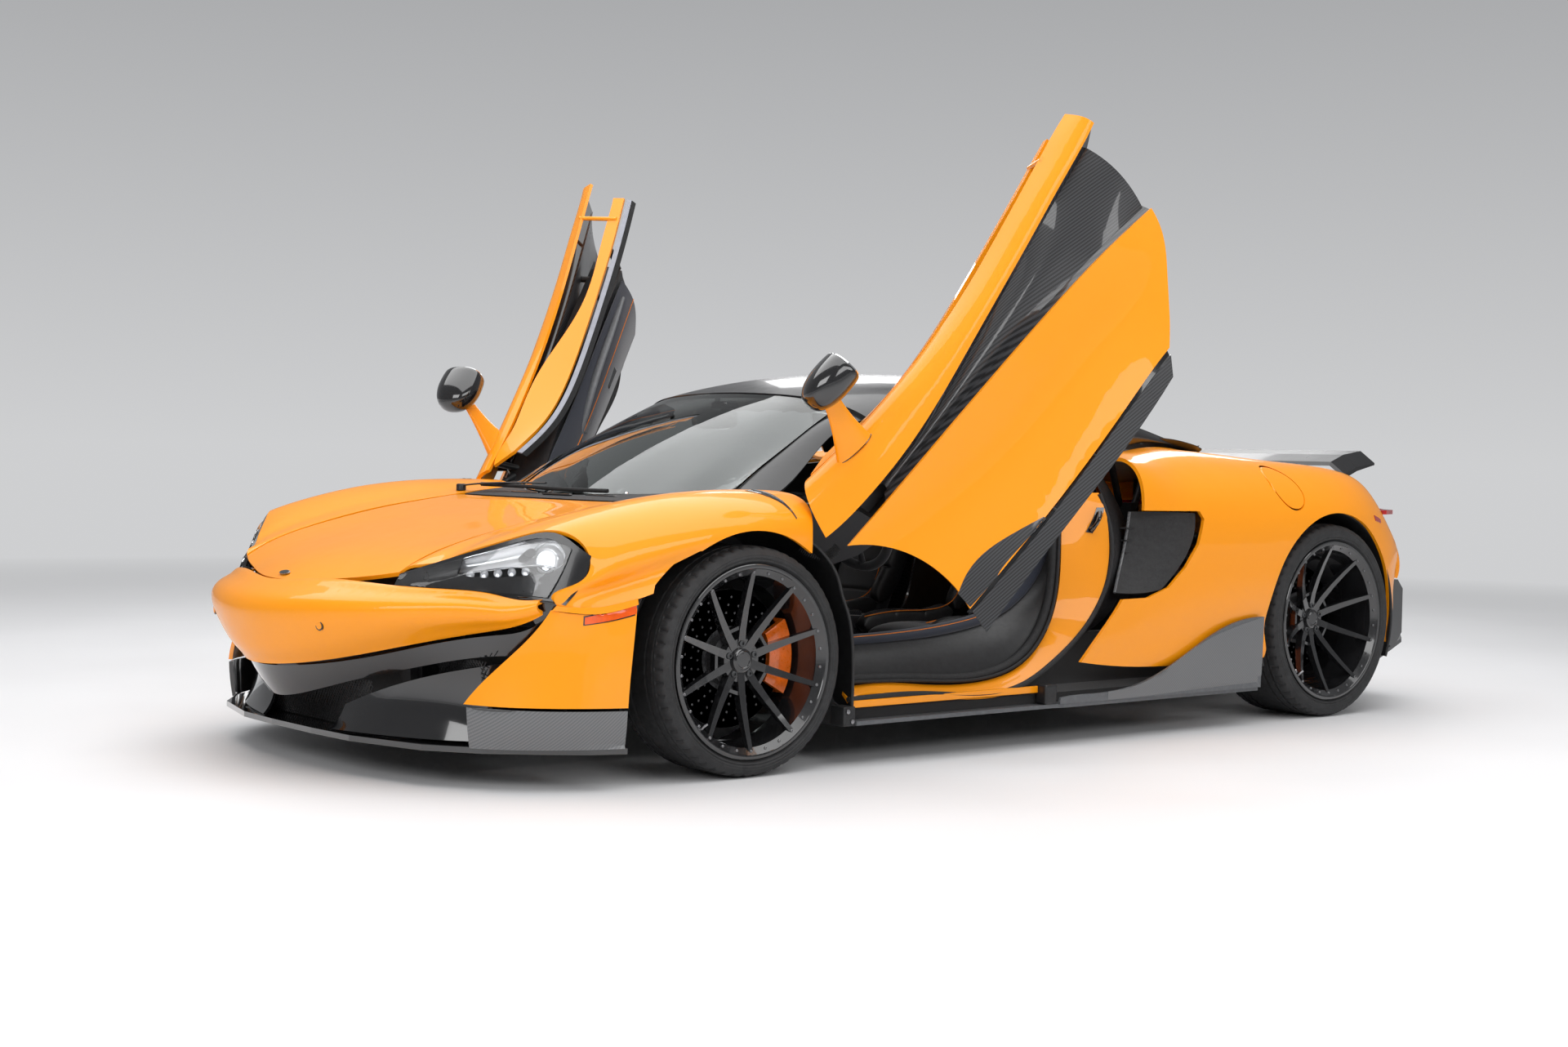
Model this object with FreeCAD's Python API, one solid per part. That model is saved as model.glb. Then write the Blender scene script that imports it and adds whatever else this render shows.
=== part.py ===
"""Two-seat mid-engined supercar with upward-swinging doors, stored with both doors open.

X points forward, Y to the car's left and Z up, in millimetres. The model is laid out from the
middle of the wheelbase at ground level and moved at the end so that the origin is the middle of
the bottom of its bounding box. Panels are thick skins interpolated through the car's own
character lines, and are trimmed by the outlines of their joint lines.
"""
import FreeCAD, Part
import math
import os

V = FreeCAD.Vector

# Driving dimensions
WHEELBASE = 2670.0
TYRE_R_FRONT = 326.0
TYRE_R_REAR = 346.5
TYRE_W_FRONT = 235.0
TYRE_W_REAR = 285.0
TYRE_FACE_Y_FRONT = 950.0
TYRE_FACE_Y_REAR = 956.0
RIM_R_FRONT = 274.0
RIM_R_REAR = 284.0
DISC_R_FRONT = 197.0
DISC_R_REAR = 190.0
DISC_T = 34.0
ARCH_R_FRONT = 368.0
ARCH_R_REAR = 386.0
PANEL_T = 12.0
GLASS_T = 6.0
SHUT_GAP = 6.0
FIT_GAP = 0.3
FLOOR_Z = 112.0
FLOOR_T = 26.0
SILL_TOP_Z = 330.0
DOOR_OPEN_DEG = 56.3
SPOKES = 10
LID_BACK_X = 1440.0
COWL_GAP = 24.0
PIN_R = 7.0
LID_PIN_R = 4.0
FLAP_PIN_R = 1.6
KING_PIN_Y = 752.0
KING_PIN_R = 9.0
SPINDLE_R = 30.0
HUB_CAP_T = 6.0
RIM_INSET = 5.0
DISH_FRONT = 60.0
DISH_REAR = 95.0
LOWER_ARM_Z = 225.0
UPPER_ARM_Z = 440.0
BIN_HALF_W = 430.0
RAIL_Y = 370.0
SKIRT_Z = 120.0
EXTRA_STATIONS = 2

AXLE_F = WHEELBASE / 2
AXLE_R = -WHEELBASE / 2
CENTRE_SHIFT = -127.0

DOOR_AXIS = V(0.186, 0.864, -0.468)
DOOR_AXIS.normalize()
DOOR_PIVOT = V(1087.0, 850.0, 755.0)


def mirrored(shape):
    """The same shape on the car's right side."""
    return shape.mirror(V(0, 0, 0), V(0, 1, 0))


def both(shape):
    """A piece and its mirror image as one compound."""
    return Part.makeCompound([shape, mirrored(shape)])


def fixed(shape):
    """A solid with its faces turned outwards."""
    if shape.Volume < 0:
        shape.reverse()
    return shape


def points(rows):
    return [[V(*p) for p in row] for row in rows]


def full_width(half_rows):
    """Rows from the centre line outwards, continued across to the other side."""
    right = [[V(p.x, -p.y, p.z) for p in row] for row in reversed(half_rows[1:])]
    return right + half_rows


def even_lines(grid, count):
    """Each line redrawn through evenly spaced points."""
    lines = []
    for line in grid:
        curve = Part.BSplineCurve()
        curve.interpolate(line)
        lines.append(curve.toShape().discretize(Number=count))
    return lines


def turned(grid):
    return [list(line) for line in zip(*grid)]


def evened(grid):
    """The grid with even spacing along its lines and then across them, which keeps it fair."""
    along = even_lines(grid, len(grid[0]) + EXTRA_STATIONS)
    across = even_lines(turned(along), len(grid) + EXTRA_STATIONS)
    return turned(across)


def surface(grid):
    face = Part.BSplineSurface()
    face.interpolate(grid)
    return face


def offset_grid(grid, distance):
    """The grid moved along the local normals, away from the side that the rows turn to."""
    rows = len(grid)
    cols = len(grid[0])
    moved = []
    for i in range(rows):
        line = []
        for j in range(cols):
            across = grid[min(i + 1, rows - 1)][j] - grid[max(i - 1, 0)][j]
            along = grid[i][min(j + 1, cols - 1)] - grid[i][max(j - 1, 0)]
            normal = across.cross(along)
            normal.normalize()
            line.append(grid[i][j] + normal * distance)
        moved.append(line)
    return moved


def shell_between(a, b):
    """A closed solid between two surfaces."""
    u0, u1, v0, v1 = a.bounds()
    p0, p1, q0, q1 = b.bounds()
    faces = [a.toShape(), b.toShape()]
    edges = [
        (a.uIso(u0), b.uIso(p0)),
        (a.uIso(u1), b.uIso(p1)),
        (a.vIso(v0), b.vIso(q0)),
        (a.vIso(v1), b.vIso(q1)),
    ]
    for first, second in edges:
        faces.append(Part.makeRuledSurface(first.toShape(), second.toShape(), 1))
    shell = Part.makeShell(faces)
    shell.sewShape()
    return fixed(Part.makeSolid(shell))


def spline_length(curve):
    return curve.toShape().Length


def inset(grid, start_gap, end_gap, first_gap, last_gap):
    """The part of the surface through a grid that is left after gaps along its four edges."""
    whole = surface(grid)
    u0, u1, v0, v1 = whole.bounds()
    across = spline_length(whole.vIso((v0 + v1) / 2))
    along = spline_length(whole.uIso((u0 + u1) / 2))
    du = (u1 - u0) / across
    dv = (v1 - v0) / along
    whole.segment(u0 + first_gap * du, u1 - last_gap * du, v0 + start_gap * dv, v1 - end_gap * dv)
    return whole


def skin(grid, thickness=PANEL_T, gaps=(0.0, 0.0, 0.0, 0.0)):
    """A panel: the outer surface through the grid and an inner one at the panel's thickness.

    The gaps are taken off at the lines' starts, their ends, the first line and the last line.
    """
    lines = evened(grid)
    outer = inset(lines, *gaps)
    inner = inset(offset_grid(lines, -thickness), *gaps)
    return shell_between(outer, inner)


def polygon(pts):
    return Part.Face(Part.makePolygon(pts + [pts[0]]))


def prism_z(outline, z0, z1):
    """An upright prism over an outline of (x, y) corners."""
    return polygon([V(x, y, z0) for x, y in outline]).extrude(V(0, 0, z1 - z0))


def prism_y(outline, y0, y1):
    """A prism across the car over an outline of (x, z) corners."""
    return fixed(polygon([V(x, y0, z) for x, z in outline]).extrude(V(0, y1 - y0, 0)))


def prism_x(outline, x0, x1):
    """A prism along the car over an outline of (y, z) corners."""
    return fixed(polygon([V(x0, y, z) for y, z in outline]).extrude(V(x1 - x0, 0, 0)))


def box(x0, x1, y0, y1, z0, z1):
    return Part.makeBox(x1 - x0, y1 - y0, z1 - z0, V(x0, y0, z0))


def rod(start, end, radius):
    return Part.makeCylinder(radius, (end - start).Length, start, end - start)


def drum(x, z, y0, y1, radius):
    """A cylinder across the car."""
    return Part.makeCylinder(radius, y1 - y0, V(x, y0, z), V(0, 1, 0))


def union(shapes):
    result = shapes[0]
    if len(shapes) > 1:
        result = result.fuse(shapes[1:])
    return result.removeSplitter()


def save(name, shape):
    """Write one piece, moved to the final origin."""
    moved = shape.copy()
    moved.translate(V(CENTRE_SHIFT, 0, 0))
    moved.exportStep("parts/" + name + ".step")


def post(start, end, radius, panels):
    """A mounting post that stops a fit gap short of the panels it carries."""
    shape = rod(start, end, radius)
    for panel in panels:
        shape = shape.cut(panel)
        lowered = panel.copy()
        lowered.translate((start - end).normalize() * FIT_GAP)
        shape = shape.cut(lowered)
    best = None
    for solid in shape.Solids:
        if solid.distToShape(Part.Vertex(start))[0] < 1.0:
            best = solid
    return best


# Front lid, from the centre line outwards, each line from the nose back to the cowl
LID_LINES = points([
    [(2316, 0, 530), (2190, 0, 594), (1990, 0, 650), (1770, 0, 700), (1580, 0, 735), (LID_BACK_X, 0, 757)],
    [(2266, 240, 541), (2160, 240, 598), (1975, 240, 652), (1760, 240, 703), (1575, 240, 736), (LID_BACK_X, 240, 757)],
    [(2186, 460, 570), (2100, 462, 616), (1940, 464, 667), (1745, 466, 712), (1570, 468, 741), (LID_BACK_X, 470, 759)],
])

# Fender, from the lid outwards, each line from the headlamp's upper edge back to the door
FENDER_LINES = points([
    [(2186, 463, 571), (2095, 470, 618), (1940, 472, 668), (1745, 474, 714), (1500, 474, 752), (1330, 474, 775), (1200, 474, 788)],
    [(2066, 622, 634), (2000, 624, 664), (1870, 626, 706), (1690, 626, 748), (1480, 626, 778), (1310, 626, 792), (1160, 625, 799)],
    [(1985, 740, 678), (1925, 744, 703), (1815, 748, 736), (1650, 752, 772), (1460, 752, 796), (1290, 752, 804), (1125, 745, 802)],
    [(1915, 838, 692), (1870, 842, 706), (1778, 846, 731), (1630, 850, 762), (1440, 852, 784), (1270, 852, 788), (1092, 842, 784)],
    [(1874, 896, 640), (1840, 902, 655), (1760, 912, 682), (1612, 920, 714), (1430, 924, 735), (1265, 924, 738), (1098, 906, 735)],
    [(1904, 899, 552), (1850, 919, 568), (1756, 932, 606), (1604, 944, 650), (1424, 950, 676), (1266, 949, 678), (1116, 932, 675)],
    [(1950, 869, 498), (1862, 918, 492), (1742, 944, 514), (1590, 956, 560), (1420, 962, 592), (1268, 960, 604), (1130, 946, 610)],
])

# Cowl panel behind the lid, from the centre line outwards, each line from the lid back to the screen
COWL_LINES = points([
    [(LID_BACK_X - COWL_GAP, 0, 760), (1382, 0, 766), (1352, 0, 771)],
    [(LID_BACK_X - COWL_GAP, 240, 760), (1362, 240, 769), (1306, 240, 777)],
    [(LID_BACK_X - COWL_GAP, 468, 761), (1320, 468, 776), (1212, 468, 788)],
])

# Nose, from the centre line outwards, each line from the lid or lamp down over the crease to its lower edge
NOSE_LINES = points([
    [(2320, 0, 524), (2372, 0, 498), (2414, 0, 462), (2411, 0, 410), (2396, 0, 352), (2366, 0, 302)],
    [(2270, 245, 535), (2330, 245, 505), (2378, 242, 464), (2371, 240, 418), (2348, 236, 370), (2305, 230, 324)],
    [(2200, 455, 528), (2244, 455, 504), (2286, 450, 467), (2276, 448, 436), (2250, 446, 405), (2206, 444, 370)],
    [(2082, 640, 518), (2120, 638, 502), (2155, 635, 474), (2144, 632, 454), (2120, 630, 436), (2088, 628, 416)],
    [(1992, 790, 506), (2012, 788, 498), (2032, 785, 482), (2026, 784, 474), (2014, 782, 466), (1996, 780, 457)],
    [(1966, 832, 503), (1976, 832, 501), (1984, 831, 496), (1981, 830, 490), (1974, 829, 486), (1966, 828, 482)],
])

# Headlamp, from its lower edge up, each line from the inner tip outwards
LAMP_LINES = points([
    [(2203, 458, 532), (2085, 642, 523), (1996, 792, 511), (1974, 835, 508), (1952, 866, 505)],
    [(2196, 461, 548), (2085, 632, 578), (1992, 772, 604), (1936, 848, 604), (1908, 886, 578)],
    [(2188, 464, 566), (2071, 622, 629), (1989, 742, 673), (1920, 832, 686), (1882, 888, 644)],
])

# Bumper corner ahead of the front wheel, from its top edge down, each line from the front back to the arch
CORNER_LINES = points([
    [(1958, 856, 488), (1895, 904, 478), (1830, 928, 480), (1742, 945, 502)],
    [(2035, 795, 370), (1940, 872, 364), (1855, 922, 366), (1756, 948, 376)],
    [(2100, 735, 285), (1985, 850, 280), (1870, 918, 278), (1766, 948, 276)],
    [(2128, 700, 232), (2005, 846, 228), (1880, 916, 226), (1768, 946, 224)],
])

# Rear quarter, from the engine deck's edge outwards and down, each from the door back to the tail
QUARTER_LINES = points([
    [(-330, 700, 898), (-520, 620, 932), (-820, 575, 956), (-1100, 550, 925), (-1400, 550, 885), (-1650, 560, 850), (-1850, 570, 820)],
    [(-330, 770, 915), (-520, 720, 932), (-820, 690, 940), (-1100, 690, 926), (-1400, 690, 905), (-1650, 690, 872), (-1800, 672, 838)],
    [(-328, 845, 906), (-520, 822, 896), (-820, 815, 892), (-1100, 815, 890), (-1400, 812, 888), (-1640, 782, 868), (-1760, 745, 832)],
    [(-322, 905, 862), (-520, 900, 836), (-820, 903, 826), (-1100, 906, 822), (-1400, 902, 822), (-1640, 858, 812), (-1764, 806, 775)],
    [(-312, 932, 780), (-500, 948, 756), (-800, 957, 742), (-1100, 962, 736), (-1400, 958, 738), (-1640, 914, 726), (-1808, 838, 690)],
    [(-285, 946, 650), (-480, 962, 630), (-780, 972, 625), (-1080, 974, 630), (-1400, 968, 640), (-1655, 932, 620), (-1858, 858, 585)],
    [(-225, 952, 500), (-430, 960, 480), (-730, 968, 475), (-1040, 970, 490), (-1400, 968, 510), (-1660, 940, 500), (-1850, 858, 505)],
    [(-110, 956, 370), (-350, 954, 350), (-660, 952, 345), (-1000, 950, 360), (-1400, 958, 380), (-1670, 934, 370), (-1838, 850, 365)],
    [(5, 958, 262), (-290, 946, 232), (-610, 938, 226), (-960, 938, 230), (-1400, 946, 240), (-1680, 924, 250), (-1835, 840, 255)],
])

# Side intake's edge on the quarter, seen from the side
INTAKE_EDGE = [(-180, 745), (-575, 742), (-592, 715), (-560, 630), (-500, 555), (-420, 490), (-320, 458), (-150, 455)]

# Outer wall of the side intake, from its top down, each line from its front lip back to the quarter
INTAKE_LINES = points([
    [(-322, 862, 738), (-460, 912, 738), (-572, 936, 734)],
    [(-306, 860, 640), (-440, 914, 636), (-546, 946, 636)],
    [(-270, 868, 545), (-370, 918, 540), (-474, 948, 548)],
    [(-222, 892, 474), (-300, 930, 472), (-392, 950, 484)],
])

# Door frame, from its inner seal outwards, each line from the sill's front back and up the rear pillar
FRAME_LINES = points([
    [(935, 848, 226), (640, 846, 218), (280, 842, 214), (105, 838, 278), (-2, 834, 418), (-38, 826, 604), (-50, 812, 700), (-75, 792, 800)],
    [(940, 880, 208), (640, 878, 204), (250, 874, 204), (85, 872, 270), (-54, 870, 404), (-118, 866, 565), (-132, 852, 692), (-130, 824, 800)],
    [(945, 905, 190), (640, 905, 190), (215, 903, 192), (60, 900, 262), (-108, 900, 388), (-194, 896, 526), (-208, 884, 682), (-185, 850, 800)],
])

# Side skirt's rear fin, its top edge and then its foot, each from the door back to the rear wheel
SKIRT_LINES = points([
    [(90, 956, 152), (-120, 960, 160), (-277, 966, 178), (-567, 970, 293), (-915, 970, 376)],
    [(90, 955, 146), (-120, 959, 147), (-300, 963, 156), (-580, 968, 215), (-912, 969, 260)],
    [(90, 954, SKIRT_Z + 12.3), (-120, 958, SKIRT_Z + 12.3), (-320, 962, SKIRT_Z + 12.3), (-590, 966, SKIRT_Z + 12.3), (-907, 968, SKIRT_Z + 12.3)],
])

# Roof and flying buttresses, from the centre line outwards, each from the screen header back
ROOF_LINES = points([
    [(716, 0, 1108), (440, 0, 1166), (150, 0, 1188), (-150, 0, 1184), (-420, 0, 1158)],
    [(704, 200, 1104), (430, 200, 1161), (145, 200, 1183), (-155, 200, 1179), (-425, 200, 1152)],
    [(680, 370, 1092), (415, 375, 1144), (135, 380, 1165), (-160, 385, 1162), (-430, 390, 1136)],
    [(640, 500, 1066), (395, 510, 1112), (125, 520, 1132), (-165, 530, 1130), (-440, 535, 1108)],
    [(600, 580, 1028), (370, 596, 1066), (115, 610, 1086), (-170, 620, 1088), (-450, 620, 1072)],
])

# Windscreen, from the centre line outwards, each from the cowl up to the header
SCREEN_LINES = points([
    [(1345, 0, 772), (1190, 0, 872), (1020, 0, 968), (860, 0, 1046), (722, 0, 1104)],
    [(1300, 220, 776), (1155, 215, 872), (995, 210, 965), (842, 204, 1041), (710, 200, 1099)],
    [(1222, 430, 784), (1092, 415, 870), (945, 400, 955), (808, 386, 1028), (686, 372, 1086)],
    [(1140, 590, 796), (1025, 570, 866), (892, 548, 938), (766, 526, 1006), (648, 502, 1060)],
])

# Windscreen pillar, from the glass outwards, each line from the dash up to the roof's front corner
PILLAR_LINES = points([
    [(1136, 582, 792), (1022, 562, 863), (890, 540, 936), (764, 518, 1004), (610, 496, 1055)],
    [(1118, 640, 782), (1002, 622, 842), (884, 594, 912), (766, 564, 982), (590, 540, 1042)],
    [(1092, 672, 766), (982, 656, 818), (878, 622, 884), (766, 586, 958), (566, 572, 1024)],
])

# Door outer skin, from its upper crease down to the sill, each from the arch back to the rear edge
DOOR_LINES = points([
    [(1140, 948, 602), (900, 944, 600), (600, 940, 602), (300, 940, 604), (0, 944, 600), (-246, 950, 580)],
    [(1120, 948, 540), (890, 934, 530), (595, 924, 520), (300, 926, 515), (10, 936, 510), (-212, 952, 500)],
    [(1080, 950, 430), (870, 928, 420), (590, 914, 410), (300, 918, 405), (20, 934, 400), (-114, 955, 390)],
    [(1050, 954, 320), (860, 938, 315), (590, 926, 315), (300, 930, 320), (60, 944, 325), (-50, 958, 325)],
    [(1030, 957, 205), (860, 954, 207), (590, 950, 214), (300, 952, 236), (120, 956, 256), (18, 960, 264)],
])

# Carbon wall of the door's air channel, from under the blade down to the skin, each from its front back
CHANNEL_LINES = points([
    [(880, 905, 634), (658, 893, 652), (416, 880, 697), (173, 868, 745), (-70, 864, 795), (-262, 868, 832)],
    [(884, 900, 622), (650, 878, 636), (400, 864, 656), (170, 862, 684), (-70, 882, 722), (-266, 908, 745)],
    [(890, 915, 612), (640, 908, 613), (390, 906, 614), (165, 910, 614), (-60, 918, 610), (-236, 926, 596)],
])

# Carbon blade under the door, its top edge and then its foot, each from the front wheel back
DOOR_FOOT_LINES = points([
    [(988, 958, 196), (800, 958, 196), (600, 958, 203), (359, 958, 224), (150, 960, 240), (30, 962, 248)],
    [(1006, 966, 124), (800, 967, 140), (600, 968, 152), (359, 968, 166), (180, 968, 184), (75, 968, 200)],
])

# Belt rail inboard of the blade, its inner edge and then its outer, each from the mirror foot back
BELT_LINES = points([
    [(930, 786, 796), (800, 742, 774), (675, 722, 762), (472, 710, 772), (240, 700, 808), (-56, 690, 866), (-242, 690, 906)],
    [(1000, 838, 800), (860, 838, 788), (690, 838, 784), (540, 828, 788), (260, 752, 812), (-56, 736, 870), (-242, 734, 910)],
])

# Door blade: the strip over the air channel, across its width, each from the fender back to its tip
BLADE_LINES = points([
    [(1030, 852, 802), (900, 850, 790), (630, 850, 785), (433, 850, 797), (207, 846, 832), (-39, 842, 884), (-300, 840, 938)],
    [(1060, 892, 792), (915, 896, 780), (640, 898, 772), (425, 894, 778), (190, 888, 808), (-55, 882, 858), (-312, 878, 912)],
    [(1096, 924, 740), (905, 928, 725), (655, 924, 728), (420, 918, 750), (180, 910, 786), (-63, 902, 836), (-318, 898, 890)],
    [(1126, 944, 668), (895, 942, 650), (658, 932, 668), (416, 922, 712), (173, 912, 760), (-70, 904, 810), (-322, 900, 866)],
])


def front_arch_cut(y0, y1):
    """The space round a front wheel, wider ahead of the tyre."""
    well = drum(AXLE_F, TYRE_R_FRONT, y0, y1, ARCH_R_FRONT)
    ahead = prism_y([(AXLE_F, 60), (1768, 60), (1768, 250), (1752, 390), (1722, 480), (1680, 550), (1615, 605),
                     (1534, 640), (AXLE_F, 640)], y0, y1)
    return well.fuse(ahead)


def rear_arch_cut(y0, y1):
    well = drum(AXLE_R, TYRE_R_REAR, y0, y1, ARCH_R_REAR)
    below = box(AXLE_R - 375, AXLE_R + 375, y0, y1, 40, TYRE_R_REAR)
    return well.fuse(below)


def tyre(width, radius, rim_r):
    """Tyre section turned about its axle, with the outer sidewall at y = 0."""
    seat = rim_r - 18 + FIT_GAP
    flange = RIM_INSET + 12 + FIT_GAP
    shoulder = radius - 14
    near = [V(0, -flange - 18, seat), V(0, -flange, seat), V(0, -flange, rim_r + FIT_GAP), V(0, -RIM_INSET, rim_r + 4),
            V(0, 0, radius - 34), V(0, -8, shoulder), V(0, -22, radius - 3)]
    far = [V(0, -width - p.y, p.z) for p in reversed(near)]
    inner = [V(0, -width + 24, radius - 36), V(0, -width / 2, radius - 16), V(0, -24, radius - 36)]
    face = polygon(near + [V(0, -width / 2, radius)] + far + inner)
    return face.revolve(V(0, 0, 0), V(0, 1, 0), 360)


def spoke(dish, tip):
    """One spoke: a concave blade that widens towards the hub."""
    steps = (0.0, 0.25, 0.5, 0.75, 1.0)
    front = [V(0, -dish + (dish - 9) * t ** 1.5, 34 + (tip - 34) * t) for t in steps]
    back = [V(0, p.y - 30 + 12 * t, p.z) for p, t in zip(front, steps)]
    side = fixed(polygon(front + back[::-1]).extrude(V(40, 0, 0)))
    side.translate(V(-20, 0, 0))
    plan = fixed(polygon([V(-13, 5, 20), V(13, 5, 20), V(7, 5, tip + 5), V(-7, 5, tip + 5)]).extrude(V(0, -200, 0)))
    return side.common(plan)


def rim(width, radius, dish):
    """Ten-spoke rim with its outer flange at y = 0 and spokes that fall inwards to the hub."""
    near = [V(0, 0, radius), V(0, -12, radius), V(0, -12, radius - 18), V(0, -44, radius - 18)]
    far = [V(0, -width - p.y, p.z) for p in reversed(near)]
    inner = [V(0, -width, radius - 14), V(0, -width + 16, radius - 30), V(0, -width / 2, radius - 42),
             V(0, -18, radius - 32), V(0, 0, radius - 12)]
    barrel = polygon(near + [V(0, -width / 2, radius - 28)] + far + inner).revolve(V(0, 0, 0), V(0, 1, 0), 360)
    hub = drum(0, 0, -dish - 30, -dish, 62)
    cap = drum(0, 0, -dish, -dish + 7, 34)
    tip = radius - 22
    blade = spoke(dish, tip)
    pieces = [barrel, hub, cap]
    for k in range(SPOKES):
        copy = blade.copy()
        copy.rotate(V(0, 0, 0), V(0, 1, 0), 360.0 * k / SPOKES)
        pieces.append(copy)
    bridge_r = 92
    for k in range(0, SPOKES, 2):
        bridge = box(-32, 32, -dish - 18, -dish - 4 + 8, bridge_r - 5, bridge_r + 5)
        bridge.rotate(V(0, 0, 0), V(0, 1, 0), 360.0 * (k + 0.5) / SPOKES)
        pieces.append(bridge)
    spindle_bore = drum(0, 0, -dish - 200, -dish - HUB_CAP_T, SPINDLE_R + FIT_GAP)
    return union(pieces).cut(spindle_bore)


def place_wheel(shape, axle_x, radius, face_y, side):
    moved = shape.copy()
    moved.translate(V(axle_x, face_y, radius))
    if side < 0:
        moved = mirrored(moved)
    return moved


def opened(shape):
    """A left door piece turned from closed to its stored, open place."""
    moved = shape.copy()
    moved.rotate(DOOR_PIVOT, DOOR_AXIS, DOOR_OPEN_DEG)
    return moved


# Black band under the nose, from the centre line outwards, each line from the nose's edge down
LOWER_NOSE_LINES = points([
    [(2350, 0, 296), (2330, 0, 252), (2300, 0, 206)],
    [(2290, 228, 314), (2268, 230, 285), (2240, 232, 256)],
    [(2190, 444, 358), (2172, 445, 335), (2150, 446, 310)],
    [(2072, 628, 402), (2062, 630, 375), (2050, 632, 348)],
    [(1976, 780, 440), (1966, 778, 412), (1955, 776, 386)],
    [(1944, 822, 470), (1936, 820, 456), (1926, 818, 440)],
])

# Vane beside the nose intake, its top edge and then down to the splitter, each from the front back
VANE_LINES = points([
    [(2214, 215, 188), (2172, 400, 254), (2110, 570, 302), (2024, 712, 334), (1936, 770, 350)],
    [(2232, 208, 146), (2176, 410, 178), (2092, 585, 200), (1990, 715, 214), (1900, 776, 220)],
    [(2256, 202, 120), (2196, 430, 120), (2105, 612, 120), (1995, 725, 120), (1900, 785, 120)],
])

# Black panel between the tail and the diffuser, from the centre line outwards, each line downwards
LOWER_TAIL_LINES = points([
    [(-2090, 0, 470), (-2062, 0, 410), (-2030, 0, 345)],
    [(-2080, 300, 470), (-2052, 300, 410), (-2020, 300, 345)],
    [(-2048, 552, 470), (-2020, 552, 410), (-1990, 552, 345)],
    [(-1968, 750, 470), (-1948, 750, 410), (-1922, 750, 345)],
])

# Splitter's edge on the left, from the middle of its front round to the middle of its back
SPLITTER_Z = 100.0
SPLITTER_T = 16.0
SPLITTER_EDGE = [(2268, 120), (2258, 320), (2187, 586), (2085, 730), (1966, 830), (1860, 905), (1767, 944),
                 (1767, 800), (1850, 700), (1930, 450), (1950, 120)]
END_BLADE_LINES = points([
    [(2122, 706, 224), (2003, 846, 220), (1878, 915, 218), (1769, 944, 216)],
    [(2118, 706, 170), (2003, 838, 168), (1878, 908, 166), (1769, 940, 165)],
    [(2110, 704, 114), (2000, 820, 114), (1876, 895, 114), (1769, 932, 114)],
])

# Flying buttress from the roof's rear corner down to the deck, its top edge and then its foot
BUTTRESS_LINES = points([
    [(-200, 626, 1072), (-440, 626, 1050), (-640, 590, 1030), (-860, 553, 990), (-1060, 551, 950)],
    [(-262, 664, 990), (-440, 650, 990), (-620, 612, 985), (-840, 568, 970), (-1050, 554, 946)],
    [(-322, 690, 924), (-440, 658, 944), (-600, 606, 962), (-820, 562, 974), (-1040, 552, 963)],
])

# Engine deck, from the centre line outwards, each line from the roof back to the tail
DECK_LINES = points([
    [(-428, 0, 1146), (-650, 0, 1075), (-900, 0, 995), (-1200, 0, 925), (-1550, 0, 862), (-1885, 0, 838)],
    [(-433, 200, 1141), (-650, 200, 1073), (-900, 200, 994), (-1200, 200, 925), (-1550, 200, 862), (-1886, 200, 837)],
    [(-438, 390, 1124), (-650, 390, 1065), (-900, 390, 992), (-1200, 390, 924), (-1550, 390, 860), (-1880, 390, 832)],
    [(-450, 520, 1090), (-650, 520, 1040), (-880, 525, 985), (-1180, 528, 918), (-1540, 535, 856), (-1866, 545, 822)],
])

# Tail, from the centre line outwards, each line from the deck down
FASCIA_LINES = points([
    [(-1893, 0, 836), (-1990, 0, 812), (-2035, 0, 740), (-2082, 0, 640), (-2110, 0, 560), (-2092, 0, 480)],
    [(-1893, 300, 834), (-1982, 300, 810), (-2026, 300, 738), (-2072, 300, 638), (-2100, 300, 558), (-2082, 300, 480)],
    [(-1880, 540, 826), (-1940, 545, 800), (-1985, 548, 730), (-2036, 550, 632), (-2066, 552, 556), (-2050, 552, 480)],
    [(-1814, 668, 834), (-1852, 690, 800), (-1896, 715, 730), (-1950, 738, 640), (-1984, 752, 560), (-1972, 752, 480)],
    [(-1768, 748, 826), (-1774, 802, 774), (-1818, 836, 690), (-1846, 850, 620), (-1866, 858, 560), (-1860, 858, 480)],
])

# Carbon blade at the tail's corner, seen from the side
CORNER_BLADE_EDGE = [(-1868, 466), (-1935, 472), (-1985, 420), (-1990, 290), (-1915, 212), (-1850, 240)]

ROOF_T = 22.0
FLAP_CENTRE = (-1102.0, 820.0)
FLAP_Y = 907.0
FLAP_R = 72.0
LID_PIVOT_X = 1452.0
LID_PIVOT_Z = 735.0
WHEEL_CENTRE = V(470, 370, 708)
WHEEL_AXIS = V(-140, 0, 50)
WHEEL_AXIS.normalize()
CALIPER_CHEEK = 26.0
CALIPER_Y_FRONT = TYRE_FACE_Y_FRONT - RIM_INSET - DISH_FRONT - 30 - 32 - DISC_T - CALIPER_CHEEK
CALIPER_Y_REAR = TYRE_FACE_Y_REAR - RIM_INSET - DISH_REAR - 30 - 32 - DISC_T - CALIPER_CHEEK


def opened_clearance():
    """Room round the left door's hinge eye under the fender."""
    axis = DOOR_AXIS
    return rod(DOOR_PIVOT - axis * 30, DOOR_PIVOT + axis * 30, 20)


def with_posts(shape, posts):
    """The structure with its mounting posts on both sides."""
    pieces = [shape]
    for start, end, radius, panels in posts:
        piece = post(start, end, radius, panels)
        pieces += [piece, mirrored(piece)]
    return union(pieces)


def with_posts_one_side(shape, posts):
    pieces = [shape]
    for start, end, radius, panels in posts:
        pieces.append(post(start, end, radius, panels))
    return union(pieces)


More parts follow.
